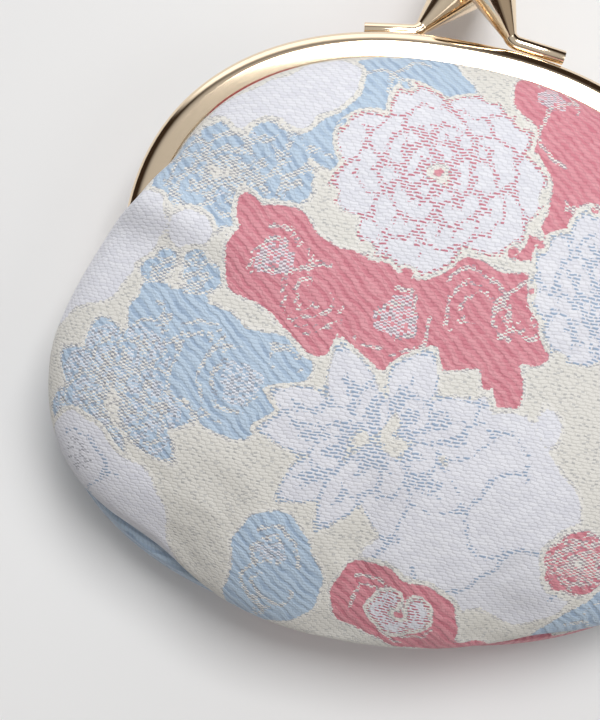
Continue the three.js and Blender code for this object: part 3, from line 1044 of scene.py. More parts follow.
@dataclass(frozen=True)
class HingeRivets:
    """The rivets through the lugs, with a domed head outside and a flat one inside."""

    placing: Placing
    finish: bpy.types.Material
    arch: Arch = field(default_factory=Arch)
    radius: float = 0.9
    head_radius: float = 1.9
    head: float = 0.6
    clearance: float = 0.3
    lug_clearance: float = 0.4
    dome: float = 0.42
    flat_round: float = 0.2
    round_segments: int = 5

    def build(self) -> None:
        """Builds both rivets; the left one is the right one turned round."""
        outer = self.arch.half_width + self.clearance
        inner = self.arch.half_width - 2 * self.arch.sheet - self.lug_clearance - self.clearance
        bench = Bench(
            "rivet", "cylinder", vertices=32, radius=self.radius, depth=outer - inner,
            location=((outer + inner) / 2, 0, 0), rotation=(0, math.pi / 2, 0),
        )
        for face, turn in ((outer, 1), (inner, -1)):
            bench.pick("FACE", lambda c, n, at=face: abs(c.x - at) < NEAR and abs(n.x) > 0.9)
            bpy.ops.mesh.extrude_region_move(TRANSFORM_OT_translate={"value": (0, 0, 0)})
            grow = self.head_radius / self.radius
            bpy.ops.transform.resize(value=(1, grow, grow), center_override=(face, 0, 0))
            bench.extrude(turn * self.head, 0, 0)
            end = face + turn * self.head
            bench.pick("EDGE", lambda c, n, at=end: abs(c.x - at) < NEAR)
            bench.bevel(self.dome if turn > 0 else self.flat_round, self.round_segments)
        right = bench.leave()
        left = right.copy()
        left.data = right.data.copy()
        bpy.context.scene.collection.objects.link(left)
        left.data.transform(Matrix.Rotation(math.pi, 4, "Z"))
        for word, piece in (("right", right), ("left", left)):
            piece.name = piece.data.name = f"{word}_hinge_rivet_plated"
            hand_over(piece, self.placing, self.finish, f"{word}_hinge_rivet", "rear_half")


@dataclass(frozen=True)
class PaperCords:
    """The twisted paper cords pressed into the channels over the cloth, which hold it there."""

    placing: Placing
    arch: Arch = field(default_factory=Arch)
    diameter: float = 1.2
    inset: float = 1.55
    height: float = 1.75
    end: float = 7.1
    twist_mm: float = 2.4
    knots: int = 41
    slices: int = 220
    core_share: float = 0.96
    groove_share: float = 0.78
    end_round: float = 0.12
    end_segments: int = 2
    crease: float = 60.0

    def build(self) -> None:
        """Builds a cord for each half."""
        finish = TwistedPaper().material()
        for side in Side:
            angles = self.arch.angles(self.end, self.knots)[::-1]
            points = [(x, y, side.value * self.height) for x, y in self.arch.points(angles, self.inset)]
            path, length = path_curve("cord_line", points, smooth=True)
            bench = Bench(
                f"{side.word}_paper_cord_twisted", "cylinder", vertices=12, depth=length,
                radius=self.diameter / 2 * self.core_share,
                location=(length / 2, 0, 0), rotation=(0, math.pi / 2, 0),
            )
            # Three strands: every fourth edge along the cord is drawn in, then the whole is twisted.
            bench.pick("VERT", lambda c, n: math.cos(3 * math.atan2(c.z, c.y)) < -0.9)
            groove = (1, self.groove_share, self.groove_share)
            bpy.ops.transform.resize(value=groove, center_override=(0, 0, 0))
            bench.pick("EDGE", lambda c, n: abs(c.x) < NEAR or abs(c.x - length) < NEAR)
            bench.bevel(self.end_round, self.end_segments)
            bench.slice(0, [length * i / self.slices for i in range(1, self.slices)])
            cord = bench.leave()
            for vertex in cord.data.vertices:
                turn = Matrix.Rotation(2 * math.pi * vertex.co.x / (3 * self.twist_mm), 3, "X")
                vertex.co = turn @ vertex.co
            bend_along(cord, path)
            hand_over(cord, self.placing, finish, f"{side.word}_paper_cord", side.body,
                      crease=self.crease)


# ---- the pouch ----


@dataclass
class Pouch:
    """The outer surface of the pouch, by a formula in polar terms round its crown.

    A meridian runs from the crown to the widest place, a little way under it to the edge, and then as a
    tuck into the channel or the seam.
    """

    arch: Arch = field(default_factory=Arch)
    half_width: float = 58.0
    depth: float = 60.7
    widest_below: float = 21.5
    hinge_half_width: float = 50.9
    shoulder_curve: float = 1.4
    seam_squareness: float = 2.25
    crown_below: float = 12.0
    crown_height: float = 19.0
    crown_squareness: float = 2.2
    rest_height: float = 17.0
    rest_softness: float = 1.0
    rest_margin: float = 0.02
    seam_recess: float = 0.9
    seam_drop: float = 2.6
    seam_rise: float = 0.15
    seam_close: float = 0.3
    leg_bulge: float = 5.4
    leg_bulge_top: float = 13.5
    leg_bulge_power: float = 1.6
    leg_lift: float = 0.95
    least_lift: float = 0.1
    seam_tuck_share: float = 0.8
    slot_z: float = 3.65
    upright: float = 1.3
    tuck: float = 2.5
    edge_share: float = 0.96
    under_share: float = 0.90
    peek: float = 3.2
    peek_left: float = 133.0
    peek_left_spread: float = 0.24
    peek_right: float = 56.0
    peek_right_spread: float = 0.32
    peek_right_share: float = 0.7

    def silhouette(self, count: int = 240) -> np.ndarray:
        """Draws the widest outline, from the right hinge round the bottom to the left one.

        Args:
            count: points in each of the outline's four parts.

        Returns:
            An array of x, y pairs.
        """
        side = np.linspace(0, 1, count)
        down = side * self.widest_below
        swell = (self.half_width - self.hinge_half_width) * (1 - side) ** self.shoulder_curve
        right = np.stack([self.half_width - swell, -down], axis=-1)
        angle = np.linspace(0, math.pi / 2, count)[1:]
        below = self.depth - self.widest_below
        corner = np.stack(
            [
                self.half_width * np.abs(np.cos(angle)) ** (2 / self.seam_squareness),
                -self.widest_below - below * np.abs(np.sin(angle)) ** (2 / self.seam_squareness),
            ],
            axis=-1,
        )
        half = np.concatenate([right[count // 20 :], corner])
        return np.concatenate([half, half[-2::-1] * [-1, 1]])

    def edge_table(self) -> dict[str, np.ndarray]:
        """Tabulates the edge by the angle round the crown.

        Returns:
            For each angle, the edge's radius and height, how far the surface stands out past it, how high
            the widest place is above it, the upright stretch at the edge and the tuck's signed length.
        """
        seam = self.silhouette()
        arch = self.arch.points(self.arch.angles(self.arch.leg_end, 400), self.arch.cloth_inset)
        swell = np.clip((self.leg_bulge_top - arch[:, 1]) / self.leg_bulge_top, 0, 1)
        swell = swell**self.leg_bulge_power
        over = self.leg_bulge * swell
        leg_lift = self.upright + self.least_lift + self.leg_lift * over
        ones_seam, ones_arch = np.ones(len(seam)), np.ones(len(arch))
        rows = {
            "x": np.concatenate([seam[:, 0], arch[:, 0]]),
            "y": np.concatenate([seam[:, 1], arch[:, 1]]),
            "z": np.concatenate([self.seam_rise * ones_seam, self.slot_z * ones_arch]),
            "over": np.concatenate([self.seam_recess * ones_seam, over]),
            "lift": np.concatenate([self.seam_drop * ones_seam, leg_lift]),
            "upright": np.concatenate([0 * ones_seam, self.upright * ones_arch]),
            "tuck": np.concatenate([-self.seam_tuck_share * self.tuck * ones_seam, self.tuck * ones_arch]),
        }
        x, y = rows.pop("x"), rows.pop("y") + self.crown_below
        angle = np.arctan2(y, x)
        order = np.argsort(angle)
        table = {"angle": angle[order], "radius": np.hypot(x, y)[order]}
        table["radius"] = table["radius"] - np.where(rows["tuck"][order] < 0, self.seam_recess, 0.0)
        table.update({key: value[order] for key, value in rows.items()})
        return table

    def skin(self, angle: np.ndarray, share: np.ndarray, side: Side) -> np.ndarray:
        """Gives points of the outer surface.

        Args:
            angle: round the crown, 0 to the right and a quarter turn towards the clasp.
            share: 0 at the crown, 1 at the end of the tuck.
            side: which half.

        Returns:
            Points, about the hinge axis.
        """
        table = self.edge_table()

        def at(key: str) -> np.ndarray:
            """Looks a column of the table up at the angles."""
            return np.interp(angle, table["angle"], table[key], period=2 * math.pi)

        edge, base, over, lift = at("radius"), at("z"), at("over"), at("lift")
        upright, tuck = at("upright"), at("tuck")
        if side is Side.FRONT:
            edge = edge - self.rear_peek(angle) * (tuck < 0)
        widest, waist = edge + over, base + lift
        dome = np.clip(share / (self.edge_share * self.under_share), 0, 1)
        under = np.clip((share / self.edge_share - self.under_share) / (1 - self.under_share), 0, 1)
        into = np.clip((share - self.edge_share) / (1 - self.edge_share), 0, 1)
        out = np.sin(dome * math.pi / 2)
        rise = (1 - out**self.crown_squareness) ** (1 / self.crown_squareness)
        fall = under * lift
        curve = np.clip(fall / np.maximum(lift - upright, self.least_lift), 0, 1)
        radius = widest * out - over * curve * curve * (3 - 2 * curve) + tuck * into
        height = waist + (self.crown_height - waist) * rise - fall - self.seam_close * into * (tuck < 0)
        return np.stack(
            [
                radius * np.cos(angle),
                radius * np.sin(angle) - self.crown_below,
                side.value * height,
            ],
            axis=-1,
        )

    def pressed(self, height: np.ndarray) -> np.ndarray:
        """Flattens heights above the rest height, with a soft bend into the flat.

        Args:
            height: heights from the plane between the halves.

        Returns:
            The flattened heights.
        """
        soft = self.rest_softness
        over = (height - self.rest_height) / soft
        return self.rest_height - soft * np.logaddexp(0, -over) - self.rest_margin

    def rear_peek(self, angle: np.ndarray) -> np.ndarray:
        """Gives how far the slumped rear panel stands out past the front one.

        Args:
            angle: round the crown.

        Returns:
            The distance at each angle.
        """
        left = np.exp(-(((angle + math.radians(self.peek_left)) / self.peek_left_spread) ** 2))
        right = np.exp(-(((angle + math.radians(self.peek_right)) / self.peek_right_spread) ** 2))
        return self.peek * (left + self.peek_right_share * right)

    def girth(self, angle: np.ndarray, share: np.ndarray, side: Side, steps: int = 48) -> np.ndarray:
        """Measures meridians: the length over the surface from the crown.

        Args:
            angle: round the crown.
            share: where each meridian ends.
            side: which half.
            steps: the pieces each meridian is measured in.

        Returns:
            The lengths.
        """
        stops = np.linspace(0, 1, steps + 1)
        path = self.skin(angle[..., None] * np.ones(steps + 1), share[..., None] * stops, side)
        return np.linalg.norm(np.diff(path, axis=-2), axis=-1).sum(axis=-1)


class Thread(Enum):
    """What a figure is woven in; the values are the names of the mesh's distances."""

    BLUE = "blue"
    ROSE = "rose"
    WHITE = "white"


class Line(Enum):
    """What a figure's lines are drawn in."""

    ROSE = "rose_line"
    BLUE = "blue_line"
    CREAM = "cream_line"


class Design:
    """Woven figures painted over each other, each as a signed distance in millimetres.

    Attributes:
        u: the points' flat x.
        v: the points' flat y.
        found: the distances by name.
    """

    far: float = 9.0
    margin: float = 0.75

    def __init__(self, flat: np.ndarray) -> None:
        """Starts with plain ground at the given points."""
        self.u, self.v = flat[:, 0], flat[:, 1]
        names = [thread.value for thread in Thread] + [line.value for line in Line] + ["stipple"]
        self.found = {name: np.full(len(flat), self.far) for name in names}

    def ellipse(
        self, x: float, y: float, length: float, width: float, turn: float,
        point: float = 0.0, bend: float = 0.0,
    ) -> tuple[np.ndarray, np.ndarray, np.ndarray]:
        """Gives a petal or leaf shape.

        Args:
            x: the middle.
            y: the middle.
            length: along its own axis.
            width: across.
            turn: of its axis, in degrees against the clock.
            point: 0 for round ends, 1 for pointed ones.
            bend: how far its middle is bowed to one side, as a share of the length.

        Returns:
            The signed distance, and the places along and across, each from -1 to 1 within the shape.
        """
        c, s = math.cos(math.radians(turn)), math.sin(math.radians(turn))
        du, dv = self.u - x, self.v - y
        a = (du * c + dv * s) / (length / 2)
        b = (dv * c - du * s) / (width / 2)
        b = b + bend * length / width * 2 * (a * a - 0.5)
        taper = 1 + point * 0.9 * np.minimum(a * a, 2.0)
        signed = (np.hypot(a, b * taper) - 1) * min(length, width) / 2
        return signed, a, b

    def paint(self, signed: np.ndarray, thread: Thread) -> None:
        """Lays a shape over all that is there.

        Args:
            signed: the shape's signed distance.
            thread: what it is woven in.
        """
        for other in Thread:
            name = other.value
            if other is thread:
                self.found[name] = np.minimum(self.found[name], signed)
            else:
                self.found[name] = np.maximum(self.found[name], self.margin - signed)
        for name in [line.value for line in Line] + ["stipple"]:
            self.found[name] = np.where(signed < 0.35, self.far, self.found[name])

    def draw(self, distance: np.ndarray, where: np.ndarray, line: Line) -> None:
        """Adds a drawn line: a distance that holds only where the mask is true."""
        self.found[line.value] = np.where(
            where, np.minimum(self.found[line.value], distance), self.found[line.value])

    def stipple(self, signed: np.ndarray, within: np.ndarray) -> None:
        """Shades a place with a checker of stitches."""
        self.found["stipple"] = np.where(
            within < -0.2, np.minimum(self.found["stipple"], signed), self.found["stipple"])


@dataclass(frozen=True)
class Bloom:
    """A blossom of petals in rings, drawn from the outside in.

    Attributes:
        x: its middle, as seen from above the closed purse.
        y: its middle.
        radius: to the tips of the outer petals.
        thread: what it is woven in.
        line: what its petals are drawn in.
        rings: petals in each ring, from the outside in.
        point: how pointed the petals are.
        slim: the petals' width against an even share of the ring.
        shaded: how much of each petal is stippled, from its foot.
        wide: stretches the blossom along its own axis.
        turn: of that axis, in degrees.
        seed: for the petals' small differences.
    """

    x: float
    y: float
    radius: float
    thread: Thread
    line: Line
    rings: tuple[int, ...] = (9, 7, 5)
    point: float = 0.0
    slim: float = 1.35
    shaded: float = 0.0
    wide: float = 1.0
    turn: float = 0.0
    seed: int = 1

    def weave(self, design: Design, place: Callable[[float, float], np.ndarray]) -> None:
        """Paints the blossom.

        Args:
            design: what it is painted on.
            place: gives a place's flat coordinates.
        """
        chance = np.random.default_rng(self.seed)
        centre = place(self.x, self.y)
        c, s = math.cos(math.radians(self.turn)), math.sin(math.radians(self.turn))
        for ring, petals in enumerate(self.rings):
            reach = self.radius * (1 - ring / (len(self.rings) + 0.35))
            length = reach * (0.78 if ring else 0.86)
            first = chance.uniform(0, 360)
            order = chance.permutation(petals)
            for number in order:
                angle = first + 360 * (number + chance.uniform(-0.3, 0.3)) / petals
                size = chance.uniform(0.68, 1.18)
                width = self.slim * math.tau * reach / petals * chance.uniform(0.55, 0.72)
                out = reach - length * size / 2
                px, py = out * math.cos(math.radians(angle)) * self.wide, out * math.sin(math.radians(angle))
                x, y = centre[0] + px * c - py * s, centre[1] + px * s + py * c
                heading = math.degrees(math.atan2(y - centre[1], x - centre[0]))
                signed, along, across = design.ellipse(
                    x, y, length * size, width, heading, self.point, chance.uniform(-0.06, 0.06))
                if self.point < 0.3:
                    # A nick in the tip.
                    nick = np.hypot((along - 1.0) * 1.6, across - chance.uniform(-0.25, 0.25)) * width / 2
                    signed = np.maximum(signed, 0.16 * width - nick)
                design.paint(signed, self.thread)
                design.draw(np.abs(signed), signed < 0.6, self.line)
                for vein in (-0.6, -0.36, -0.12, 0.12, 0.36, 0.6):
                    bowed = np.abs(across - vein * (0.6 + 0.4 * along)) * width / 2
                    stop = chance.uniform(-0.5, 0.45) if abs(vein) > 0.3 else chance.uniform(-0.2, 0.6)
                    design.draw(bowed * 1.3, (signed < -0.25) & (along < stop) & (width > 2.2), self.line)
                if self.shaded:
                    design.stipple((along + 1 - 2 * self.shaded) * length / 2, signed)
        heart, _, _ = design.ellipse(*centre, 1.9, 1.5, self.turn)
        if self.line is Line.ROSE:
            design.paint(heart, Thread.ROSE)
        else:
            design.draw(np.abs(heart), heart < 0.5, self.line)


@dataclass(frozen=True)
class Leaf:
    """A leaf or rounded drop with a midrib and side veins."""

    x: float
    y: float
    length: float
    width: float
    turn: float
    thread: Thread
    line: Line = Line.CREAM
    point: float = 0.5
    bend: float = 0.0
    veins: int = 4

    def weave(self, design: Design, place: Callable[[float, float], np.ndarray]) -> None:
        """Paints the leaf.

        Args:
            design: what it is painted on.
            place: gives a place's flat coordinates.
        """
        centre = place(self.x, self.y)
        signed, along, across = design.ellipse(
            *centre, self.length, self.width, self.turn, self.point, self.bend)
        design.paint(signed, self.thread)
        if not self.veins:
            return
        rib = np.abs(across) * self.width / 2
        design.draw(rib, (signed < -0.5) & (np.abs(along) < 0.82), self.line)
        sweep = along - 0.35 * np.abs(across)
        for number in range(self.veins):
            stop = -0.6 + 1.15 * number / max(self.veins - 1, 1)
            side = np.abs(sweep - stop) * self.length / 2
            design.draw(side, (signed < -0.9) & (np.abs(across) > 0.12), self.line)


@dataclass(frozen=True)
class Curls:
    """A rounded shape of joined circles, with curling lines inside, as clouds and cabbages are woven."""

    lobes: tuple[tuple[float, float, float], ...]
    thread: Thread
    line: Line = Line.CREAM
    shaded: tuple[int, ...] = ()
    rounds: int = 2

    def weave(self, design: Design, place: Callable[[float, float], np.ndarray]) -> None:
        """Paints the shape.

        Args:
            design: what it is painted on.
            place: gives a place's flat coordinates.
        """
        whole = None
        discs = []
        for x, y, radius in self.lobes:
            centre = place(x, y)
            away = np.hypot(design.u - centre[0], design.v - centre[1])
            bearing = np.arctan2(design.v - centre[1], design.u - centre[0])
            wavy = radius * (1 + 0.05 * np.cos(3 * bearing + x) + 0.03 * np.cos(7 * bearing + y))
            signed = away - wavy
            discs.append((signed, bearing, radius))
            if whole is None:
                whole = signed
            else:
                # A soft union.
                blend = np.clip(0.5 + 0.5 * (signed - whole) / 3.0, 0, 1)
                whole = signed * (1 - blend) + whole * blend - 3.0 * blend * (1 - blend)
        design.paint(whole, self.thread)
        for number, (signed, bearing, radius) in enumerate(discs):
            for turn in range(self.rounds):
                depth = radius * (0.3 + 0.26 * turn)
                spiral = np.abs(signed + depth + 0.12 * radius * np.sin(bearing + number))
                arc = np.cos(bearing - 0.9 - number * 2.1 - turn * 1.3) > (0.1 - 0.35 * turn)
                design.draw(spiral, arc & (whole < -0.9), self.line)
            if number in self.shaded:
                design.stipple(signed + 0.62 * radius, whole)


@dataclass
class Pattern:
    """The cloth's figures: blossoms, leaves and curled shapes in blue, rose and white."""

    def figures(self) -> list[Bloom | Leaf | Curls]:
        """Lists the figures, placed for the front panel.

        Returns:
            The figures in the order they lie over each other.
        """
        blue, rose, white = Thread.BLUE, Thread.ROSE, Thread.WHITE
        return [
            Curls(((-12, 26, 9), (-5, 29.5, 8), (-17, 19, 6.5), (-9, 20, 6)), blue, rounds=1),
            Leaf(-33, 26.5, 21, 5.5, 38, rose, point=0.6, veins=0),
            Curls(((-34, 19, 5.5), (-27, 22.5, 6), (-21, 27.5, 5.5)), white, Line.BLUE, rounds=0),
            Bloom(-34, 10, 10, blue, Line.CREAM, (9, 7, 5), 0.0, 1.6, 0.36, 1.7, 6, seed=4),
            Curls(((-52, -6, 8), (-57, -13, 6), (-47, 0.5, 5.5), (-38, 0, 3.5)), white, Line.BLUE, rounds=0),
            Bloom(-38.5, -8.2, 5.8, blue, Line.CREAM, (7, 5), 0.3, 1.4, 0.4, 1.65, 4, seed=9),
            Curls(((-34, -18, 7.5), (-26, -22, 8.5), (-41, -14, 4.5), (-20, -18, 4.5)), blue, shaded=(1,)),
            Bloom(-45, -28, 13.5, blue, Line.CREAM, (9, 7, 4), 0.6, 1.15, 0.8, 1.05, 70, seed=5),
            Curls(((-50, -38, 7), (-42, -45, 8.5), (-36, -51, 6)), white, Line.BLUE, rounds=1, shaded=(0,)),
            Leaf(13.5, -15, 13, 6.5, -72, rose, point=0.4, veins=0),
            Curls(((-24, -2, 8), (-15, -7, 8.5), (-4, -8, 8.8), (7, -6, 8.6), (15, -5, 7)), rose,
                  shaded=(0, 2), rounds=3),
            Leaf(-29, 4, 8, 4.5, 118, rose, point=0.5, veins=0),
            Curls(((15, 31, 6.5), (20, 26, 8.5), (25, 18, 9.5), (22, 9.5, 6)), rose, shaded=(0,), rounds=1),
            Leaf(11, 7.5, 15, 5.5, 160, rose, point=0.5, bend=0.1, veins=0),
            Bloom(-1.5, 15.2, 16.3, white, Line.ROSE, (9, 8, 7, 4), 0.15, 1.5, 0.0, 1.08, 12, seed=17),
            Curls(((15, -27, 7.5), (20, -35, 10), (12, -42, 11), (24, -46, 8), (3, -46, 5.5)), white, Line.BLUE,
                  rounds=1),
            Leaf(10.5, -20.5, 6.5, 4, 70, white, point=0.7, veins=0),
            Leaf(22, -20.5, 6.5, 4, 110, white, point=0.7, veins=0),
            Bloom(-4, -27.5, 15.8, white, Line.BLUE, (10, 7), 0.85, 1.15, 0.0, 1.25, 10, seed=23),
            Bloom(27, 1.5, 13, white, Line.BLUE, (8, 7, 5), 0.1, 1.5, 0.0, 0.85, 10, seed=31),
            Curls(((-17, -47, 6.3), (-15, -53, 7.3), (-19, -57, 5)), blue, shaded=(0,), rounds=2),
            Curls(((0, -53, 7), (8, -55.5, 7.2), (17, -60, 6), (27, -60, 4)), rose, shaded=(), rounds=2),
            Bloom(5, -54.5, 4.4, white, Line.ROSE, (5,), 0.2, 1.3, 0.0, 1.3, 0, seed=8),
            Bloom(31, -41, 6, rose, Line.CREAM, (6, 4), 0.1, 1.4, 0.3, 1.0, 10, seed=41),
            Curls(((33, -53, 6.5), (40, -48, 7)), blue, rounds=1),
            Bloom(42, 13, 9.5, blue, Line.CREAM, (8, 6, 4), 0.1, 1.4, 0.4, 0.9, 30, seed=43),
            Curls(((44, -10, 8.5), (49, -18, 8), (38, -18, 6)), rose, shaded=(0,), rounds=2),
            Bloom(45, -33, 10.5, white, Line.ROSE, (9, 7, 5), 0.1, 1.5, 0.0, 1.0, 10, seed=47),
            Leaf(54, -3, 12, 7, 80, blue, point=0.5, veins=5),
            Curls(((33, 26, 5.5), (39, 22, 4.5)), white, Line.BLUE, rounds=1),
        ]

    def rear_edge(self) -> list[Leaf | Curls]:
        """Lists the figures that run along the rear panel's lower edge, where it stands out.

        Returns:
            The figures.
        """
        return [
            Curls(((-53, -33, 9), (-47, -43, 12), (-38, -51, 12), (-28, -57, 10), (-18, -60, 7)), Thread.BLUE,
                  rounds=0),
            Curls(((8, -61, 8), (17, -59, 9), (27, -57, 9)), Thread.ROSE, rounds=0),
            Leaf(39, -50, 16, 9, 40, Thread.BLUE, veins=3),
        ]

    def distances(self, pouch: "Pouch", side: Side, flat: np.ndarray) -> dict[str, np.ndarray]:
        """Works out the figures' signed distances at points of the cloth.

        Args:
            pouch: gives the way from above the purse to the flat cloth.
            side: which panel; the rear one is cut from another place of the same cloth.
            flat: the points, as flat cloth coordinates.

        Returns:
            An array per name.
        """
        design = Design(flat)

        def place(x: float, y: float) -> np.ndarray:
            """Finds a place's flat coordinates; the rear cut is turned half round and shifted.

            Args:
                x: the place, as seen from above the closed purse.
                y: the same.

            Returns:
                The place on the flat cloth.
            """
            if side is Side.REAR:
                x, y = -x + 6, -y - 26
            return flatten(pouch, x, y, side)

        for figure in self.figures():
            figure.weave(design, place)
        if side is Side.REAR:
            for figure in self.rear_edge():
                figure.weave(design, lambda x, y: flatten(pouch, x, y, side))
        return design.found


def flatten(pouch: Pouch, x: float, y: float, side: Side) -> np.ndarray:
    """Finds the flat cloth coordinates of a place seen from above the closed purse.

    Args:
        pouch: the surface.
        x: from the purse's middle.
        y: from the hinge axis.
        side: which panel.

    Returns:
        The place on the flat cloth, from its crown.
    """
    angle = math.atan2(y + pouch.crown_below, x)
    shares = np.linspace(0, pouch.edge_share * pouch.under_share, 60)
    path = pouch.skin(np.full(60, angle), shares, side)
    radius = np.hypot(path[:, 0], path[:, 1] + pouch.crown_below)
    length = np.concatenate([[0], np.cumsum(np.linalg.norm(np.diff(path, axis=0), axis=1))])
    wanted = math.hypot(x, y + pouch.crown_below)
    reach = float(np.interp(wanted, radius, length)) + max(0.0, wanted - radius[-1])
    return reach * np.array([math.cos(angle), math.sin(angle)])


@dataclass
class Plies:
    """The pouch's cloth in both halves: patterned panel, wadding and lining.

    The net of cloth is a square patch over the crown, and rings round it out to the edge.
    """

    placing: Placing
    pouch: Pouch = field(default_factory=Pouch)
    pattern: Pattern = field(default_factory=Pattern)
    patch_cells: int = 26
    patch_share: float = 0.5
    dome_rings: int = 8
    under_rings: int = 3
    tuck_rings: int = 3
    panel_thickness: float = 0.7
    ply_gap: float = 0.25
    wadding_thickness: float = 1.0
    lining_thickness: float = 0.3
    slack: float = 0.008
    pressure: float = 2.0
    most_move: float = 1.6
    frames: int = 22
    quality: int = 6
    knot_mass: float = 0.0004
    stretch: float = 12.0
    shear: float = 5.0
    bending: float = 0.06
    panel_levels: int = 2
    inner_levels: int = 1
    bend_start: tuple[float, float, float] = (0.0, 7.0, 5.0)
    bend_end: tuple[float, float, float] = (0.0, -28.0, 19.0)

    def net(self, tucked: bool = True) -> tuple[np.ndarray, np.ndarray, np.ndarray]:
        """Lays the net: its knots in polar terms, and its cells.

        Args:
            tucked: whether the rings of the tuck are there.

        Returns:
            The knots' angles, their shares, and the cells as rows of four knots.
        """
        m = self.patch_cells
        a, b = np.meshgrid(*(np.linspace(-1, 1, m + 1),) * 2, indexing="ij")
        x, y = a * np.sqrt(1 - b * b / 2), b * np.sqrt(1 - a * a / 2)
        angle, share = np.arctan2(y, x).ravel(), self.patch_share * np.hypot(x, y).ravel()
        index = np.arange((m + 1) ** 2).reshape(m + 1, m + 1)
        patch = np.stack([index[:-1, :-1], index[1:, :-1], index[1:, 1:], index[:-1, 1:]], axis=-1)
        rim = np.concatenate([index[:-1, 0], index[-1, :-1], index[:0:-1, -1], index[0, :0:-1]])
        pouch = self.pouch
        dome_end = pouch.edge_share * pouch.under_share
        stops = [np.linspace(self.patch_share, dome_end, self.dome_rings + 1)[1:],
                 np.linspace(dome_end, pouch.edge_share, self.under_rings + 1)[1:]]
        if tucked:
            stops.append(np.linspace(pouch.edge_share, 1, self.tuck_rings + 1)[1:])
        angles, shares, cells, last = [angle], [share], [patch.reshape(-1, 4)], rim
        for ring, stop in enumerate(np.concatenate(stops)):
            new = (m + 1) ** 2 + ring * len(rim) + np.arange(len(rim))
            angles.append(angle[rim])
            shares.append(np.full(len(rim), stop))
            cells.append(np.stack([last, new, np.roll(new, -1), np.roll(last, -1)], axis=-1))
            last = new
        return np.concatenate(angles), np.concatenate(shares), np.concatenate(cells)

    def settle(self) -> dict[Side, np.ndarray]:
        """Lets the filled cloth settle by simulation, held at the frame and the seam.

        Returns:
            How far each knot of each half moves, in millimetres.
        """
        angle, share, cells = self.net()
        start = {side: self.pouch.skin(angle, share, side) for side in Side}
        held = share > self.pouch.edge_share * self.pouch.under_share - 0.001
        points = np.concatenate([self.placing.points(start[side]) for side in Side])
        count = len(angle)
        mesh = bpy.data.meshes.new("settling_cloth")
        mesh.from_pydata(points.tolist(), [], [*cells.tolist(), *(cells[:, ::-1] + count).tolist()])
        cloth = bpy.data.objects.new("settling_cloth", mesh)
        bpy.context.scene.collection.objects.link(cloth)
        pins = cloth.vertex_groups.new(name="held")
        pins.add(np.flatnonzero(np.concatenate([held] * 2)).tolist(), 1.0, "REPLACE")
        bpy.ops.object.select_all(action="DESELECT")
        modifier = cloth.modifiers.new("settle", "CLOTH")
        settings = modifier.settings
        settings.quality = self.quality
        settings.mass = self.knot_mass
        settings.tension_stiffness = settings.compression_stiffness = self.stretch
        settings.shear_stiffness = self.shear
        settings.bending_stiffness = self.bending
        settings.vertex_group_mass = "held"
        settings.use_pressure = True
        settings.uniform_pressure_force = self.pressure
        settings.shrink_min = -self.slack
        modifier.collision_settings.use_collision = False
        settings.effector_weights.gravity = 0
        modifier.point_cache.frame_start, modifier.point_cache.frame_end = 1, self.frames
        scene = bpy.context.scene
        for frame in range(1, self.frames + 1):
            scene.frame_set(frame)
        settled = cloth.evaluated_get(bpy.context.evaluated_depsgraph_get())
        moved = np.empty(len(points) * 3)
        settled.data.vertices.foreach_get("co", moved)
        scene.frame_set(1)
        shift = (moved.reshape(-1, 3) - points) / MM
        length = np.linalg.norm(shift, axis=1, keepdims=True)
        LOG.info("cloth settled: it moves %.2f mm at most, %.2f mm on average", length.max(), length.mean())
        shift *= np.minimum(1, self.most_move / np.maximum(length, 1e-9))
        bpy.data.objects.remove(cloth)
        return {side: shift[i * count : (i + 1) * count] for i, side in enumerate(Side)}

    def flat_places(self, side: Side, angle: np.ndarray, share: np.ndarray) -> np.ndarray:
        """Returns the knots' flat cloth coordinates, from the crown."""
        reach = self.pouch.girth(angle, share, side)
        return np.stack([reach * np.cos(angle), reach * np.sin(angle)], axis=-1)

    def ply(
        self, name: str, side: Side, shift: np.ndarray, top: float, thickness: float, levels: int,
        tucked: bool,
    ) -> bpy.types.Object:
        """Makes one ply: the settled net, moved in, subdivided and given its thickness.

        Args:
            name: the piece's name.
            side: which half.
            shift: how far each knot of the whole net moved.
            top: how deep the ply's outer skin lies under the pouch's surface.
            thickness: the ply's.
            levels: of subdivision.
            tucked: whether it runs on into the channel and the seam.

        Returns:
            The object, in the row frame, with its flat cloth coordinates.
        """
        angle, share, cells = self.net(tucked)
        points = self.pouch.skin(angle, share, side) + shift[: len(angle)]
        if side is Side.REAR:
            cells = cells[:, ::-1]
            points[:, 2] = -self.pouch.pressed(-points[:, 2])
        mesh = bpy.data.meshes.new(name)
        mesh.from_pydata(points.tolist(), [], cells.tolist())
        normals = np.empty(len(points) * 3)
        mesh.vertex_normals.foreach_get("vector", normals)
        points = points - top * normals.reshape(-1, 3)
        mesh.vertices.foreach_set("co", points.astype(np.float32).ravel())
        corner = np.empty(len(mesh.loops), int)
        mesh.loops.foreach_get("vertex_index", corner)
        layer = mesh.uv_layers.new(name="cloth")
        flat = self.flat_places(side, angle, share)
        layer.data.foreach_set("uv", flat[corner].astype(np.float32).ravel())
        piece = bpy.data.objects.new(name, mesh)
        bpy.context.scene.collection.objects.link(piece)
        bpy.context.view_layer.objects.active = piece
        finer = piece.modifiers.new("finer", "SUBSURF")
        finer.levels = finer.render_levels = levels
        finer.uv_smooth = "PRESERVE_BOUNDARIES"
        bpy.ops.object.modifier_apply(modifier=finer.name)
        if top == 0:
            self.mark(piece.data, side)
        wall = piece.modifiers.new("thickness", "SOLIDIFY")
        wall.thickness = thickness
        wall.offset = -1
        bpy.ops.object.modifier_apply(modifier=wall.name)
        piece.data.transform(self.placing.matrix())
        piece.data.shade_smooth()
        return piece

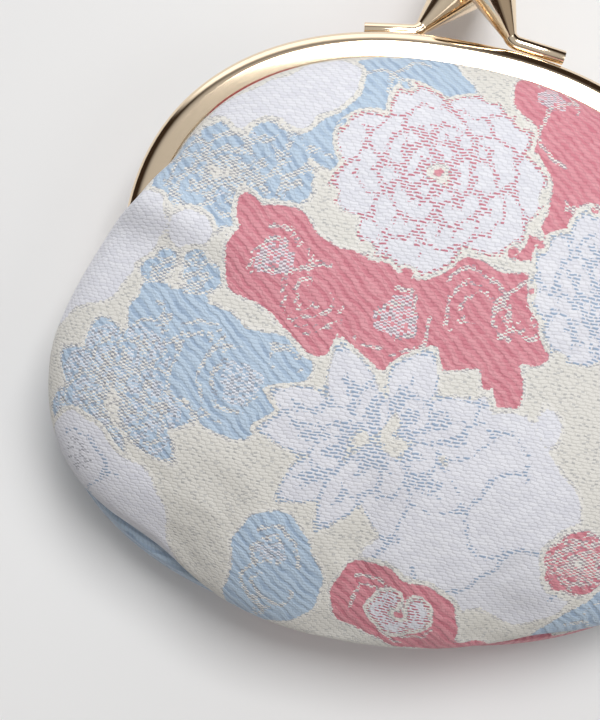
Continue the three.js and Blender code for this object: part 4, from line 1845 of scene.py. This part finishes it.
    def mark(self, mesh: bpy.types.Mesh, side: Side) -> None:
        """Writes the pattern's distances into the mesh.

        Args:
            mesh: the panel's, with its flat cloth coordinates.
            side: which panel.
        """
        corner = np.empty(len(mesh.loops), int)
        mesh.loops.foreach_get("vertex_index", corner)
        uv = np.empty(len(mesh.loops) * 2)
        mesh.uv_layers["cloth"].data.foreach_get("uv", uv)
        flat = np.empty((len(mesh.vertices), 2))
        flat[corner] = uv.reshape(-1, 2)
        for name, signed in self.pattern.distances(self.pouch, side, flat).items():
            attribute = mesh.attributes.new(name, "FLOAT", "POINT")
            attribute.data.foreach_set("value", signed.astype(np.float32))

    def build(self) -> None:
        """Builds and dresses all six plies; the rear ones ride on the rear half, the front ones are baked in
        place.
        """
        shift = self.settle()
        cloth = Jacquard().material()
        wadding = PlainCloth("needled_wadding", "#F4F2EC", "#DAD6CC", 0.8).material()
        lining = PlainCloth("cotton_lining", "#EAE3D5", "#CFC6B4", 0.3).material()
        below = self.panel_thickness + self.ply_gap
        deepest = below + self.wadding_thickness + self.ply_gap
        for side in Side:
            for kind, top, thickness, level, material, slot, tucked in (
                ("panel", 0.0, self.panel_thickness, self.panel_levels, cloth, "jacquard_cloth", True),
                ("wadding", below, self.wadding_thickness, self.inner_levels, wadding, "wadding", False),
                ("lining", deepest, self.lining_thickness, self.inner_levels, lining, "lining_cloth", True),
            ):
                name = f"{side.word}_{kind}_sewn"
                piece = self.ply(name, side, shift[side], top, thickness, level, tucked)
                piece.data.materials.append(material)
                self.attach(piece, side, kind)
                self.declare(piece)

    def declare(self, piece: bpy.types.Object) -> None:
        """Reads a ply's flat cloth coordinates, and does nothing more with them.

        Args:
            piece: the ply, with its flat cloth coordinates.
        """
        uv = np.empty(len(piece.data.loops) * 2)
        piece.data.uv_layers["cloth"].data.foreach_get("uv", uv)

    def attach(self, piece: bpy.types.Object, side: Side, kind: str) -> None:
        """Hides the CAD nodes that a ply stands for, and hangs a rear ply on the rear half; a front ply is
        baked in place.

        Args:
            piece: the ply.
            side: which half.
            kind: panel, wadding or lining.
        """
        if side is Side.FRONT:
            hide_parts(*(f"front_{kind}_{part}" for part in ("mouth", "fold", "pouch")))
            # The ends of a bend down and back are worked out, but no bend is made.
            start = self.placing.points(np.array(self.bend_start))
            end = self.placing.points(np.array(self.bend_end))
            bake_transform(piece)
        else:
            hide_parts(f"rear_{kind}")
            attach(piece, "rear_half")


# ---- the studio ----


@dataclass(frozen=True)
class Studio:
    """A pale floor, two soft lights above, the room around them and the camera over the purse."""

    floor_colour: str = "#EBEBEB"
    ceiling: str = "#FFFFFF"
    wall: str = "#4A3B30"
    backdrop: str = "#D9D8D7"
    screen: str = "#DCD3C8"
    room: float = 0.5
    window: float = 3.0
    key: float = 6.5
    key_place: tuple[float, float, float] = (0.09, 0.39, 0.9)
    key_size: float = 0.42
    fill: float = 1.2
    fill_place: tuple[float, float, float] = (0.75, -0.1, 0.9)
    fill_size: float = 0.5
    floor_size: float = 3.0
    floor_roughness: float = 0.7
    floor_below: float = 0.0001
    sensor: float = 36.0
    near_clip: float = 0.01
    lens: float = 78.0
    view_height: float = 117.6
    aim_x: float = -17.6
    aim_y: float = -16.9
    aim_z: float = 4.6
    roll: float = 10.0

    def build(self, placing: Placing) -> None:
        """Adds the floor, the lights, the world and the camera.

        Args:
            placing: where the purse is.
        """
        bpy.ops.object.select_all(action="DESELECT")
        bpy.ops.mesh.primitive_plane_add(size=self.floor_size, location=(0, 0, -self.floor_below))
        floor = bpy.context.object
        floor.name = "floor"
        material, graph, shader = new_material("pale_floor")
        shader.inputs["Base Color"].default_value = linear(self.floor_colour)
        shader.inputs["Roughness"].default_value = self.floor_roughness
        floor.data.materials.append(material)

        self.light("key", self.key_place, self.key_size, self.key)
        self.light("fill", self.fill_place, self.fill_size, self.fill)
        self.surroundings()

        distance = self.lens / self.sensor * self.view_height
        aim = placing.points(np.array([self.aim_x, self.aim_y, self.aim_z + distance]))
        bpy.ops.object.camera_add(location=tuple(aim), rotation=(0, 0, math.radians(self.roll)))
        camera = bpy.context.object
        camera.name = "camera"
        camera.data.lens = self.lens
        camera.data.clip_start = self.near_clip
        bpy.context.scene.camera = camera
        bpy.context.scene.view_settings.view_transform = "Standard"

    def surroundings(self) -> None:
        """Makes the room: white ceiling, bright window behind the clasp, pale screen, and brown walls."""
        world = bpy.data.worlds.new("studio")
        bpy.context.scene.world = world
        world.use_nodes = True
        graph = Graph(world.node_tree)
        background = world.node_tree.nodes["Background"]
        way = graph.add("SeparateXYZ", {0: graph.add("TexCoord").outputs["Generated"]}).outputs
        overhead = graph.ramp(way[2], 0.55, 0.93)
        behind = graph.ramp(way[1], 0.52, 0.74)
        colour = graph.mix(overhead, linear(self.wall), linear(self.ceiling))
        leftward = graph.ramp(way[0], 0.12, 0.0)
        glow = graph.math("MULTIPLY", graph.ramp(way[2], 0.75, 0.35), graph.math("MULTIPLY", behind, leftward))
        window = graph.add("CombineColor", {0: self.window, 1: self.window, 2: self.window}).outputs[0]
        colour = graph.mix(glow, colour, window)
        screen = graph.math("MULTIPLY", graph.ramp(way[0], 0.3, 0.55), graph.ramp(way[1], 0.05, -0.2))
        colour = graph.mix(screen, colour, linear(self.screen))
        background.inputs["Strength"].default_value = self.room
        graph.tree.links.new(colour, background.inputs["Color"])
        # Seen directly, the room is a plain pale backdrop; what shines mirrors the room itself.
        backdrop = graph.add("Background", {"Color": linear(self.backdrop)})
        seen = graph.add("LightPath").outputs["Is Camera Ray"]
        shown = graph.add("MixShader", {0: seen, 1: background.outputs[0], 2: backdrop.outputs[0]})
        graph.tree.links.new(shown.outputs[0], world.node_tree.nodes["World Output"].inputs["Surface"])

    def light(self, name: str, place: tuple[float, float, float], size: float, power: float) -> None:
        """Adds a square area light that faces the purse.

        Args:
            name: the light's name.
            place: where it stands, in metres.
            size: its side, in metres.
            power: in watts.
        """
        bpy.ops.object.light_add(type="AREA", location=place)
        lamp = bpy.context.object
        lamp.name = name
        lamp.data.size = size
        lamp.data.energy = power
        lamp.rotation_euler = (-Vector(place)).to_track_quat("-Z", "Y").to_euler()


def main() -> None:
    """Builds the purse's looks round the frame."""
    logging.basicConfig(level=logging.INFO, format="%(name)s: %(message)s")
    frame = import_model()
    joint = frame["joints"][0]
    placing = Placing(hinge_y=joint["pos_m"][1], hinge_z=joint["pos_m"][2])
    Studio().build(placing)
    gold = GoldPlate().material()
    FrameHalves(placing, gold).build()
    KissLock(placing, gold).build()
    HingeRivets(placing, gold).build()
    PaperCords(placing).build()
    Plies(placing).build()


if __name__ == "__main__":
    main()
